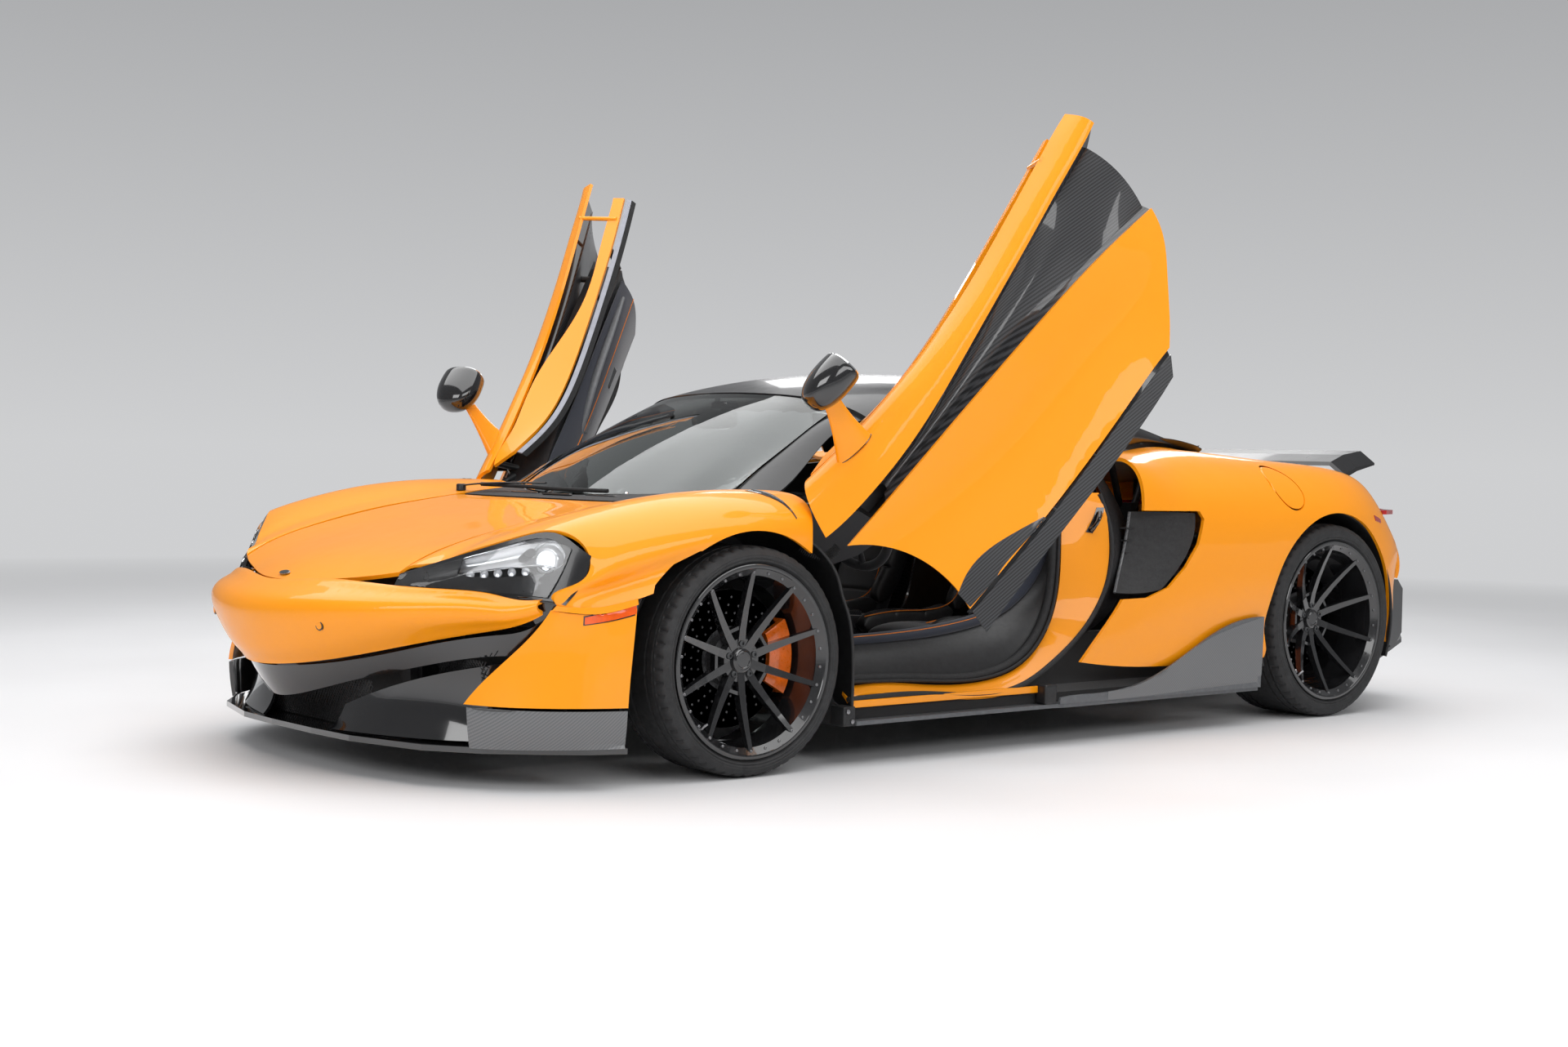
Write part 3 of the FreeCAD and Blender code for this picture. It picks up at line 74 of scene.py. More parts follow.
class Mat:
    """A material with its node tree and its shader at hand."""

    def __init__(self, name, color, rough=0.5, metal=0.0, coat=0.0, coat_rough=0.03, ior=1.5, **more):
        self.mat = bpy.data.materials.new(name)
        self.mat.use_nodes = True
        self.tree = self.mat.node_tree
        self.bsdf = self.tree.nodes["Principled BSDF"]
        self.color = color
        self.rough = rough
        self.set("Base Color", (*color, 1))
        self.set("Roughness", rough)
        self.set("Metallic", metal)
        self.set("Coat Weight", coat)
        self.set("Coat Roughness", coat_rough)
        self.set("IOR", ior)
        for key, value in more.items():
            self.set(key.replace("_", " "), value)
        self.mat.diffuse_color = (*color, 1)

    def set(self, socket, value):
        self.bsdf.inputs[socket].default_value = value

    def node(self, kind, **values):
        node = self.tree.nodes.new(kind)
        for key, value in values.items():
            setattr(node, key, value)
        return node

    def link(self, a, b):
        self.tree.links.new(a, b)

    def coords(self):
        return self.node("ShaderNodeTexCoord").outputs["Object"]

    def noise(self, scale, detail=4.0, rough=0.55):
        node = self.node("ShaderNodeTexNoise")
        node.inputs["Scale"].default_value = scale
        node.inputs["Detail"].default_value = detail
        node.inputs["Roughness"].default_value = rough
        self.link(self.coords(), node.inputs["Vector"])
        return node.outputs["Fac"]

    def spread(self, value, low, high, out_low, out_high):
        node = self.node("ShaderNodeMapRange")
        for key, number in (("From Min", low), ("From Max", high), ("To Min", out_low), ("To Max", out_high)):
            node.inputs[key].default_value = number
        self.link(value, node.inputs["Value"])
        return node.outputs["Result"]

    def tint(self, value, a, b):
        """Base colour runs from a to b with a value from 0 to 1."""
        node = self.node("ShaderNodeMix", data_type="RGBA")
        node.inputs["A"].default_value = (*a, 1)
        node.inputs["B"].default_value = (*b, 1)
        self.link(value, node.inputs["Factor"])
        self.link(node.outputs["Result"], self.bsdf.inputs["Base Color"])

    def bump(self, value, strength, distance=0.001):
        node = self.node("ShaderNodeBump")
        node.inputs["Strength"].default_value = strength
        node.inputs["Distance"].default_value = distance
        self.link(value, node.inputs["Height"])
        self.link(node.outputs["Normal"], self.bsdf.inputs["Normal"])

    def mottled(self, scale, depth=0.12, bump_scale=None, bump=0.05, rough=0.08):
        """Slight changes of colour and roughness, with a fine bump."""
        low = tuple(c * (1 - depth) for c in self.color)
        high = tuple(min(1.0, c * (1 + depth) + 0.002) for c in self.color)
        spots = self.spread(self.noise(scale), 0.3, 0.7, 0, 1)
        self.tint(spots, low, high)
        smear = self.spread(self.noise(scale * 2.7), 0.25, 0.75, max(0.02, self.rough - rough),
            self.rough + rough)
        self.link(smear, self.bsdf.inputs["Roughness"])
        if bump_scale:
            self.bump(self.noise(bump_scale, 2.0), bump)
        return self


PAINT_COLOUR = (1.0, 0.335, 0.002)


def paint():
    m = Mat("paint_orange", PAINT_COLOUR, rough=0.42, coat=0.55, coat_rough=0.02, Specular_IOR_Level=0.25)
    flakes = m.node("ShaderNodeTexVoronoi")
    flakes.inputs["Scale"].default_value = 900
    m.link(m.coords(), flakes.inputs["Vector"])
    m.tint(m.spread(flakes.outputs["Color"], 0, 1, 0, 1), tuple(c * 0.97 for c in PAINT_COLOUR), PAINT_COLOUR)
    m.bump(m.noise(55, 2.0), 0.012, 0.0006)
    smear = m.spread(m.noise(9), 0.3, 0.7, 0.38, 0.46)
    m.link(smear, m.bsdf.inputs["Roughness"])
    return m


TWILL_REPEAT = 4.0
TWILL_OVER = 1.5


def weave(name, dark, light, cell, rough=0.32, coat=1.0):
    """Two-by-two twill of carbon tows under lacquer, in the object's x-z plane."""
    m = Mat(name, dark, rough=rough, coat=coat, coat_rough=0.04)
    split = m.node("ShaderNodeSeparateXYZ")
    m.link(m.coords(), split.inputs[0])
    whole = []
    for axis in ("X", "Z"):
        scaled = m.node("ShaderNodeMath", operation="MULTIPLY")
        scaled.inputs[1].default_value = 1.0 / cell
        m.link(split.outputs[axis], scaled.inputs[0])
        floor = m.node("ShaderNodeMath", operation="FLOOR")
        m.link(scaled.outputs[0], floor.inputs[0])
        whole.append(floor.outputs[0])
    total = m.node("ShaderNodeMath", operation="ADD")
    m.link(whole[0], total.inputs[0])
    m.link(whole[1], total.inputs[1])
    wrapped = m.node("ShaderNodeMath", operation="FLOORED_MODULO")
    wrapped.inputs[1].default_value = TWILL_REPEAT
    m.link(total.outputs[0], wrapped.inputs[0])
    over = m.node("ShaderNodeMath", operation="LESS_THAN")
    over.inputs[1].default_value = TWILL_OVER
    m.link(wrapped.outputs[0], over.inputs[0])
    m.tint(over.outputs[0], dark, light)
    m.bump(over.outputs[0], 0.15, 0.0004)
    return m


def woven_cloth(name, color, scale, bump=0.4):
    m = Mat(name, color, rough=0.92, Sheen_Weight=0.35, Sheen_Roughness=0.5)
    nap = m.noise(scale, 6.0, 0.7)
    m.tint(m.spread(nap, 0.3, 0.7, 0, 1), tuple(c * 0.7 for c in color), tuple(c * 1.35 for c in color))
    m.bump(nap, bump, 0.0008)
    return m


def glass(name, color):
    return Mat(name, color, rough=0.0, ior=1.45, Transmission_Weight=1.0)


PAINT = paint()
BLACK = Mat("gloss_black", (0.008, 0.008, 0.009), rough=0.12, coat=1.0).mottled(6, 0.2, 60, 0.01, 0.03)
ROOF_BLACK = Mat("roof_black", (0.008, 0.008, 0.009), rough=0.30, coat=0.30).mottled(6, 0.2, 60, 0.01, 0.03)
LAMP_BLACK = Mat("lamp_black", (0.010, 0.010, 0.011), rough=0.25, coat=0.25).mottled(12, 0.2, 90, 0.01, 0.03)
SATIN = Mat("satin_black", (0.012, 0.012, 0.013), rough=0.42).mottled(40, 0.2, 700, 0.10)
PLASTIC = Mat("grained_plastic", (0.016, 0.016, 0.017), rough=0.62).mottled(60, 0.2, 1400, 0.25)
RUBBER = Mat("seal_rubber", (0.014, 0.014, 0.015), rough=0.72).mottled(90, 0.25, 900, 0.15)
TYRE = Mat("tyre_rubber", (0.020, 0.020, 0.021), rough=0.74).mottled(30, 0.25, 500, 0.12)
CARBON = weave("carbon_gloss", (0.010, 0.010, 0.011), (0.045, 0.046, 0.050), 0.0026)
CARBON_GREY = weave("carbon_satin", (0.105, 0.108, 0.112), (0.150, 0.153, 0.158), 0.0026, rough=0.45,
    coat=0.5)
ALLOY = Mat("wheel_black", (0.010, 0.010, 0.011), rough=0.20, coat=1.0).mottled(25, 0.2, 300, 0.02, 0.04)
STEEL = Mat("brushed_steel", (0.42, 0.42, 0.43), rough=0.30, metal=1.0).mottled(180, 0.2, 900, 0.08)
BOLT = Mat("bolt_steel", (0.30, 0.30, 0.31), rough=0.34, metal=1.0).mottled(200, 0.2, 900, 0.08)
CERAMIC = Mat("disc_grey", (0.115, 0.115, 0.118), rough=0.42, metal=0.35).mottled(160, 0.35, 700, 0.15)
CALIPER = Mat("caliper_orange", (0.90, 0.16, 0.004), rough=0.30, coat=0.8).mottled(50, 0.1, 500, 0.04)
SUEDE = woven_cloth("suede_dark", (0.014, 0.014, 0.017), 900)
NAVY = woven_cloth("suede_navy", (0.016, 0.020, 0.034), 900)
LEATHER = Mat("leather_black", (0.015, 0.015, 0.016), rough=0.48).mottled(70, 0.2, 520, 0.45)
CARPET = woven_cloth("carpet", (0.013, 0.013, 0.014), 500, 0.8)
TRIM_GREY = Mat("trim_grey", (0.10, 0.105, 0.112), rough=0.38).mottled(60, 0.12, 800, 0.08)
METAL_DARK = Mat("cast_metal", (0.085, 0.087, 0.09), rough=0.48, metal=0.9).mottled(60, 0.3, 500, 0.15)
CHROME = Mat("reflector", (0.80, 0.81, 0.82), rough=0.08, metal=1.0).mottled(30, 0.05, None, 0, 0.04)
SCREEN = glass("screen_glass", (0.30, 0.33, 0.32))
LENS = glass("lamp_glass", (0.93, 0.94, 0.95))
RED_LENS = Mat("red_lens", (0.42, 0.004, 0.003), rough=0.12, coat=1.0).mottled(40, 0.2, 300, 0.1)
AMBER = Mat("amber_lens", (0.85, 0.10, 0.002), rough=0.15, coat=0.5).mottled(40, 0.1, 300, 0.1)
GLOW = Mat("lamp_light", (0.95, 0.97, 1.0), rough=0.2, Emission_Color=(0.90, 0.95, 1.0, 1),
    Emission_Strength=1.2).mottled(30, 0.03)
SEAT = woven_cloth("seat_suede", (0.020, 0.021, 0.024), 800)
STITCH = Mat("stitch_thread", (0.75, 0.20, 0.01), rough=0.8).mottled(300, 0.2, 2000, 0.3)
REFLECTOR = Mat("lamp_silver", (0.80, 0.81, 0.83), rough=0.22, metal=0.45).mottled(30, 0.04, None, 0, 0.05)
MIRROR = Mat("mirror_glass", (0.85, 0.86, 0.87), rough=0.02, metal=1.0).mottled(4, 0.02)
WINDOW_TRIM = Mat("window_trim", (0.30, 0.31, 0.36), rough=0.35, coat=0.3).mottled(40, 0.1, 500, 0.05)
SCREEN_OFF = Mat("display_glass", (0.006, 0.007, 0.009), rough=0.08, coat=1.0).mottled(5, 0.2)

NODE_MATERIALS = {
    PAINT: "front_lid front_fenders front_bumper rear_quarters fuel_flap door_frames rear_fascia "
           "door_skin_left door_skin_right door_blade_left door_blade_right door_belt_left door_belt_right "
           "mirror_left mirror_right",
    BLACK: "lower_nose splitter",
    ROOF_BLACK: "roof rear_wing engine_deck",
    CARBON: "door_carbon_left door_carbon_right diffuser",
    PLASTIC: "cowl intake_ducts front_bulkhead front_structure",
    SATIN: "door_inner_left door_inner_right rear_structure",
    CARPET: "floor_tub",
    METAL_DARK: "suspension_arms rear_uprights knuckle_left knuckle_right engine",
    CALIPER: "caliper_left caliper_right rear_calipers",
    CERAMIC: "disc_fl disc_fr disc_rl disc_rr",
    ALLOY: "rim_fl rim_fr rim_rl rim_rr",
    TYRE: "tyre_fl tyre_fr tyre_rl tyre_rr",
    SUEDE: "dashboard steering_wheel",
    SEAT: "seats",
    SCREEN: "windscreen",
    LENS: "headlamps",
    RED_LENS: "tail_lamps",
    STEEL: "exhaust",
    TRIM_GREY: "side_skirts",
}
for material, names in NODE_MATERIALS.items():
    for name in names.split():
        mesh = NODES[name].data
        mesh.materials.clear()
        mesh.materials.append(material.mat)


# Mesh tools

def turn(points, axis, angle, pivot):
    """Points turned about an axis through a pivot."""
    k = np.asarray(axis, float)
    k = k / np.linalg.norm(k)
    p = np.asarray(points, float) - pivot
    c, s = math.cos(angle), math.sin(angle)
    return p * c + np.cross(k, p) * s + np.outer(p @ k, k) * (1 - c) + pivot


# The body that carries a piece's mirror image, where it isn't the same one
OTHER = {"door_left": "door_right", "wheel_fl": "wheel_fr", "wheel_rl": "wheel_rr"}


def build(name, verts, faces, material, body, angle=35, bevel=0.0):
    """A mesh object that rides a body, from points in the layout's millimetres."""
    mesh = bpy.data.meshes.new(name)
    metres = (np.asarray(verts, float) + [ORIGIN_X, 0, 0]) / 1000
    mesh.from_pydata([tuple(v) for v in metres], [], [tuple(f) for f in faces])
    mesh.materials.append(material.mat)
    mesh.validate()
    obj = bpy.data.objects.new(name, mesh)
    bpy.context.scene.collection.objects.link(obj)
    work = bmesh.new()
    work.from_mesh(mesh)
    bmesh.ops.remove_doubles(work, verts=work.verts, dist=1e-6)
    bmesh.ops.recalc_face_normals(work, faces=work.faces)
    for edge in work.edges:
        edge.smooth = len(edge.link_faces) == 2 and edge.calc_face_angle(0) < math.radians(angle)
    for face in work.faces:
        face.smooth = True
    work.to_mesh(mesh)
    work.free()
    if bevel:
        mod = obj.modifiers.new("edges", "BEVEL")
        mod.width = bevel / 1000
        mod.segments = 2
        mod.limit_method = "ANGLE"
        mod.angle_limit = math.radians(angle)
        mod.harden_normals = True
    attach(obj, body)
    return obj


def make(name, verts, faces, material, body="chassis", sides=2, door=False, **options):
    """A piece, and its mirror image where sides is 2."""
    verts = np.asarray(verts, float)
    if door:
        verts = turn(verts, DOOR_AXIS, DOOR_OPEN, DOOR_PIVOT)
    if sides == 1:
        return [build(name, verts, faces, material, body, **options)]
    return [build(name + "_l", verts, faces, material, body, **options),
        build(name + "_r", verts * [1, -1, 1], [f[::-1] for f in faces], material, OTHER.get(body, body),
            **options)]


def spline(points, count):
    """Evenly spaced points on the natural cubic spline through points."""
    p = np.asarray(points, float)
    n = len(p)
    t = np.concatenate([[0], np.cumsum(np.linalg.norm(np.diff(p, axis=0), axis=1) + 1e-9)])
    h = np.diff(t)
    system = np.eye(n)
    right = np.zeros_like(p)
    for i in range(1, n - 1):
        system[i, i - 1:i + 2] = h[i - 1], 2 * (h[i - 1] + h[i]), h[i]
        right[i] = 6 * ((p[i + 1] - p[i]) / h[i] - (p[i] - p[i - 1]) / h[i - 1])
    m = np.linalg.solve(system, right)

    def at(s):
        k = np.clip(np.searchsorted(t, s, side="right") - 1, 0, n - 2)
        a = ((t[k + 1] - s) / h[k])[:, None]
        b = ((s - t[k]) / h[k])[:, None]
        hk = h[k][:, None]
        return a * p[k] + b * p[k + 1] + ((a ** 3 - a) * m[k] + (b ** 3 - b) * m[k + 1]) * hk ** 2 / 6

    fine = np.linspace(0, t[-1], 40 * n)
    curve = at(fine)
    run = np.concatenate([[0], np.cumsum(np.linalg.norm(np.diff(curve, axis=0), axis=1))])
    wanted = np.linspace(0, run[-1], count)
    return at(np.interp(wanted, run, fine))


def grid_points(rows, across, along):
    """A smooth grid through rows of points."""
    lines = [spline(row, along) for row in rows]
    columns = [spline([line[j] for line in lines], across) for j in range(along)]
    return np.array(columns).transpose(1, 0, 2)


def grid_normals(grid):
    du = np.gradient(grid, axis=0)
    dv = np.gradient(grid, axis=1)
    normal = np.cross(du, dv)
    return normal / np.linalg.norm(normal, axis=2, keepdims=True)


def shifted(line, dx, dy, dz):
    return [(x + dx, y + dy, z + dz) for x, y, z in line]


def rect(w, h):
    """Corners of a rectangle with half sides w and h."""
    return [(-w, -h), (w, -h), (w, h), (-w, h)]


def lattice(rows, cols, base=0, flip=False, wrap_rows=False, wrap_cols=False):
    """Four-sided faces of a grid of points, closed on itself where it wraps."""
    faces = []
    for i in range(rows if wrap_rows else rows - 1):
        for j in range(cols if wrap_cols else cols - 1):
            low, high = base + i * cols, base + (i + 1) % rows * cols
            face = (low + j, low + (j + 1) % cols, high + (j + 1) % cols, high + j)
            faces.append(face[::-1] if flip else face)
    return faces


def end_caps(rows, cols):
    return [tuple(range(cols))[::-1], tuple((rows - 1) * cols + j for j in range(cols))]


def shell_mesh(outer, inner):
    """Closed mesh between two grids of the same size."""
    rows, cols = outer.shape[:2]
    n = rows * cols
    verts = np.concatenate([outer.reshape(-1, 3), inner.reshape(-1, 3)])
    faces = lattice(rows, cols) + lattice(rows, cols, n, True)
    ring = list(range(cols)) + [i * cols + cols - 1 for i in range(1, rows)]
    ring += [(rows - 1) * cols + j for j in range(cols - 2, -1, -1)] + [i * cols for i in range(rows - 2, 0,
        -1)]
    for a, b in zip(ring, ring[1:] + ring[:1]):
        faces.append((a, n + a, n + b, b))
    return verts, faces


def panel(name, rows, thickness, material, body="chassis", lift=0.0, across=14, along=28, **options):
    """A smooth sheet of some thickness through rows of points, lifted along its outward normals."""
    grid = grid_points(rows, across, along)
    normal = grid_normals(grid)
    verts, faces = shell_mesh(grid + normal * lift, grid + normal * (lift - thickness))
    return make(name, verts, faces, material, body, **options)


def frame_along(path):
    """Side and up vectors that don't twist along a path."""
    tangent = np.gradient(path, axis=0)
    tangent /= np.linalg.norm(tangent, axis=1, keepdims=True)
    up = np.array([0.0, 0.0, 1.0]) if abs(tangent[0][2]) < 0.9 else np.array([1.0, 0.0, 0.0])
    ups, sides = [], []
    for t in tangent:
        up = up - t * (up @ t)
        up = up / np.linalg.norm(up)
        ups.append(up)
        sides.append(np.cross(t, up))
    return np.array(sides), np.array(ups)


def swept(path, section, closed=False, scale=None):
    """A section of (side, up) corners carried along a path."""
    path = np.asarray(path, float)
    sides, ups = frame_along(path)
    section = np.asarray(section, float)
    n, k = len(path), len(section)
    verts = []
    for i in range(n):
        grow = 1.0 if scale is None else scale[i]
        verts.extend(path[i] + sides[i] * s * grow + ups[i] * u * grow for s, u in section)
    faces = lattice(n, k, wrap_rows=closed, wrap_cols=True)
    return verts, faces if closed else faces + end_caps(n, k)


def ring_section(radius, count=10, flat=1.0):
    return [(radius * math.cos(2 * math.pi * j / count), radius * flat * math.sin(2 * math.pi * j / count))
            for j in range(count)]


def tube(name, points, radius, material, body="chassis", count=40, sides_n=10, smooth=True, closed=False,
        flat=1.0, **options):
    path = spline(points, count) if smooth else np.asarray(points, float)
    verts, faces = swept(path, ring_section(radius, sides_n, flat), closed)
    return make(name, verts, faces, material, body, **options)


def revolved(profile, centre, axis, count):
    """A profile of (radius, height along the axis) turned round it."""
    axis = np.asarray(axis, float)
    axis = axis / np.linalg.norm(axis)
    first = np.cross(axis, [0, 0, 1] if abs(axis[2]) < 0.9 else [1, 0, 0])
    first /= np.linalg.norm(first)
    second = np.cross(axis, first)
    verts = []
    for i in range(count):
        a = 2 * math.pi * i / count
        out = first * math.cos(a) + second * math.sin(a)
        verts.extend(np.asarray(centre, float) + out * r + axis * h for r, h in profile)
    return verts, lattice(count, len(profile), wrap_rows=True)


def turned(name, profile, centre, axis, material, body="chassis", count=48, **options):
    verts, faces = revolved(profile, centre, axis, count)
    return make(name, verts, faces, material, body, **options)


def button(name, centre, axis, radius, height, material, **options):
    """A round piece with a rolled edge."""
    e = min(radius, height) * 0.25
    profile = [(0.01, 0), (radius, 0), (radius, height - e), (radius - e * 0.3, height - e * 0.3),
        (radius - e, height), (0.01, height)]
    return turned(name, profile, centre, axis, material, count=24, **options)


def slab(name, outline, origin, u, v, w, depth, material, body="chassis", bevel=2.0, **options):
    """A flat outline of (u, v) corners pushed along w, with its edges rounded."""
    origin, u, v, w = (np.asarray(a, float) for a in (origin, u, v, w))
    near = [origin + u * a + v * b for a, b in outline]
    far = [p + w * depth for p in near]
    n = len(outline)
    faces = [tuple(range(n))[::-1], tuple(range(n, 2 * n))]
    faces += [(i, (i + 1) % n, n + (i + 1) % n, n + i) for i in range(n)]
    return make(name, near + far, faces, material, body, bevel=bevel, **options)


def block(name, low, high, material, body="chassis", bevel=3.0, **options):
    (x0, y0, z0), (x1, y1, z1) = low, high
    return slab(name, [(x0, y0), (x1, y0), (x1, y1), (x0, y1)], (0, 0, z0), X, Y, Z, z1 - z0,
                material, body, bevel, **options)


def joined(parts):
    """Several (verts, faces) meshes as one."""
    verts, faces = [], []
    for v, f in parts:
        base = len(verts)
        verts.extend(v)
        faces.extend(tuple(base + i for i in face) for face in f)
    return verts, faces


# Laying pieces on the CAD surfaces

TREES = {}


def surface_tree(node):
    if node not in TREES:
        obj = NODES[node]
        corners = [obj.matrix_world @ v.co for v in obj.data.vertices]
        TREES[node] = BVHTree.FromPolygons(corners, [tuple(p.vertices) for p in obj.data.polygons])
    return TREES[node]


def landed(point, node, toward, reach=160.0):
    """Where a line through the point first meets a CAD node, or the point itself where it misses."""
    way = Vector(toward).normalized()
    start = Vector(((point[0] + ORIGIN_X) / 1000, point[1] / 1000, point[2] / 1000)) - way * reach / 1000
    spot = surface_tree(node).ray_cast(start, way, 2 * reach / 1000)[0]
    if spot is None:
        return np.asarray(point, float)
    return np.array([spot.x * 1000 - ORIGIN_X, spot.y * 1000, spot.z * 1000])


def facing(grid, toward):
    """The grid's unit normals, turned to face against a direction."""
    normal = grid_normals(grid)
    if (normal @ np.asarray(toward, float)).mean() > 0:
        normal = -normal
    return normal


def laid(name, rows, node, toward, material, lift=1.0, thickness=3.0, across=10, along=20, door=False,
        **options):
    """A sheet through rows of points, brought down on a CAD node along a direction."""
    grid = grid_points(rows, across, along)
    toward = np.asarray(toward, float)
    if door:
        grid = turn(grid.reshape(-1, 3), DOOR_AXIS, DOOR_OPEN, DOOR_PIVOT).reshape(grid.shape)
        toward = turn([toward], DOOR_AXIS, DOOR_OPEN, np.zeros(3))[0]
    for index in np.ndindex(grid.shape[:2]):
        grid[index] = landed(grid[index], node, toward)
    normal = facing(grid, toward)
    verts, faces = shell_mesh(grid + normal * lift, grid + normal * (lift - thickness))
    return make(name, verts, faces, material, **options)


def spread_over(grid, u, v):
    """A point of a grid at the shares u across its rows and v along them."""
    rows, cols = grid.shape[:2]
    a, b = u * (rows - 1), v * (cols - 1)
    i, j = min(int(a), rows - 2), min(int(b), cols - 2)
    a, b = a - i, b - j
    return (grid[i, j] * (1 - a) * (1 - b) + grid[i + 1, j] * a * (1 - b)
            + grid[i, j + 1] * (1 - a) * b + grid[i + 1, j + 1] * a * b)


def loop_places(corners, count):
    """Evenly spaced places round a closed outline of (u, v) corners."""
    p = np.array(list(corners) + [corners[0]], float)
    run = np.concatenate([[0], np.cumsum(np.linalg.norm(np.diff(p, axis=0), axis=1))])
    wanted = np.linspace(0, run[-1], count, endpoint=False)
    return np.stack([np.interp(wanted, run, p[:, 0]), np.interp(wanted, run, p[:, 1])], axis=1)


def bordered(name, grid, outer, inner, material, lift, thickness, rings=5, count=96, **options):
    """A sheet on a grid between two outlines of (u, v) corners, both listed the same way round."""
    normal = grid_normals(grid)
    a, b = loop_places(outer, count), loop_places(inner, count)
    for _ in range(3):
        b = (np.roll(b, 1, axis=0) + 2 * b + np.roll(b, -1, axis=0)) / 4
    top, low = [], []
    for i in range(rings):
        for place in a + (b - a) * i / (rings - 1):
            spot = spread_over(grid, *place)
            out = spread_over(normal, *place)
            top.append(spot + out * lift)
            low.append(spot + out * (lift - thickness))
    faces = lattice(rings, count, wrap_cols=True) + lattice(rings, count, rings * count, True, wrap_cols=True)
    for i in (0, rings - 1):
        for j in range(count):
            k = (j + 1) % count
            faces.append((i * count + j, i * count + k, (rings + i) * count + k, (rings + i) * count + j))
    return make(name, top + low, faces, material, **options)


def wire_mesh(name, low, high, pitch, wire, material, **options):
    """A diamond grille of crossed wires between two corners, in a plane that leans in x with its height."""
    (x0, y0, z0), (x1, y1, z1) = low, high
    parts, height = [], z1 - z0
    for lean in (-1, 1):
        y = y0 - height
        while y < y1 + height:
            a, b = (y, z0), (y + lean * height, z1)
            points = []
            for k in range(9):
                t = k / 8
                yy, zz = a[0] + (b[0] - a[0]) * t, a[1] + (b[1] - a[1]) * t
                if y0 <= yy <= y1:
                    points.append((x0 + (x1 - x0) * t, yy, zz))
            if len(points) > 1:
                parts.append(swept(points, ring_section(wire, 4)))
            y += pitch
    verts, faces = joined(parts)
    return make(name, verts, faces, material, **options)


# Wheels

def tyre_mesh(centre_x, hub_z, radius, width, face_y, rim_r, blocks):
    """Low-profile tyre: fluted sidewalls, four grooves round the tread and cross cuts in its ribs."""
    seat = rim_r + 2
    side = [(0.0, -15, seat - 4), (0.0, -9, seat + 4), (0.0, -3, seat + 7), (0.0, -1.5, seat + 11),
        (0.0, -3.2, seat + 13), (0.0, -0.6, seat + 17), (0.0, 0, radius - 32), (0.0, -1.2, radius - 27),
        (0.0, -0.2, radius - 25), (0.0, -5, radius - 16), (0.0, -9, radius - 10.5)]
    tread = [(1, -13, radius - 6.6), (1, -19, radius - 4.0), (1, -27, radius - 2.6), (1, -38, radius - 1.6)]
    half = width / 2
    left = side + tread
    for y, depth in ((-46, 7.0), (-79, 7.0)):
        left += [(0, y + 5.5, radius - 1.2), (0, y + 4.0, radius - depth - 1),
            (0, y - 4.0, radius - depth - 1), (2, y - 5.5, radius - 0.9), (2, y - 15, radius - 0.5)]
    right = [(kind, -width - y, r) for kind, y, r in reversed(left)]
    profile = left + right
    steps = blocks * 4
    verts = []
    k = len(profile)
    for i in range(steps):
        a = 2 * math.pi * i / steps
        for j, (kind, y, r) in enumerate(profile):
            late = (i + (2 if j > k / 2 else 0)) % 4
            if kind == 1 and late == 0:
                r -= 5.0
            if kind == 2 and (i + j) % 4 == 0:
                r -= 2.5
            skew = 0.35 * (-half - y) / half * 2 * math.pi / steps * 3 if kind else 0
            verts.append((centre_x + r * math.cos(a + skew), face_y + y, hub_z + r * math.sin(a + skew)))
    faces = [(a, d, c, b) for a, b, c, d in lattice(steps, k, wrap_rows=True, wrap_cols=True)]
    return verts, faces


def drilled_disc(radius, inner, thickness, hole_r, holes):
    """Vented brake disc with its cross-drilled faces, at the origin with its axis along y."""
    rim = radius - 14
    profile = [(inner, 0), (radius, 0), (radius, -thickness * 0.36), (rim, -thickness * 0.36),
        (rim, -thickness * 0.64), (radius, -thickness * 0.64), (radius, -thickness), (inner, -thickness),
        (inner, 0)]
    drill = [(0.01, 4), (hole_r, 4), (hole_r, -thickness - 4), (0.01, -thickness - 4)]
    drills = joined([revolved(drill, (x, 0, z), Y, 8) for x, z in holes])
    pair = []
    for name, (verts, faces) in (("disc_face", revolved(profile, (0, 0, 0), Y, 72)), ("disc_holes", drills)):
        mesh = bpy.data.meshes.new(name)
        mesh.from_pydata([tuple(v) for v in verts], [], [tuple(f) for f in faces])
        work = bmesh.new()
        work.from_mesh(mesh)
        bmesh.ops.remove_doubles(work, verts=work.verts, dist=0.02)
        bmesh.ops.recalc_face_normals(work, faces=work.faces)
        work.to_mesh(mesh)
        work.free()
        pair.append(bpy.data.objects.new(name, mesh))
        bpy.context.scene.collection.objects.link(pair[-1])
    disc, cutter = pair
    mod = disc.modifiers.new("holes", "BOOLEAN")
    mod.operation = "DIFFERENCE"
    mod.object = cutter
    mod.solver = "EXACT"
    done = disc.evaluated_get(bpy.context.evaluated_depsgraph_get())
    mesh = done.to_mesh()
    result = np.array([v.co for v in mesh.vertices]), [tuple(p.vertices) for p in mesh.polygons]
    done.to_mesh_clear()
    for obj in pair:
        bpy.data.objects.remove(obj)
    return result


def hole_pattern(r0, r1, rings, per_ring):
    places = []
    for k in range(rings):
        r = r0 + (r1 - r0) * k / (rings - 1)
        for i in range(per_ring):
            a = 2 * math.pi * (i + k / rings) / per_ring
            places.append((r * math.cos(a), r * math.sin(a)))
    return places


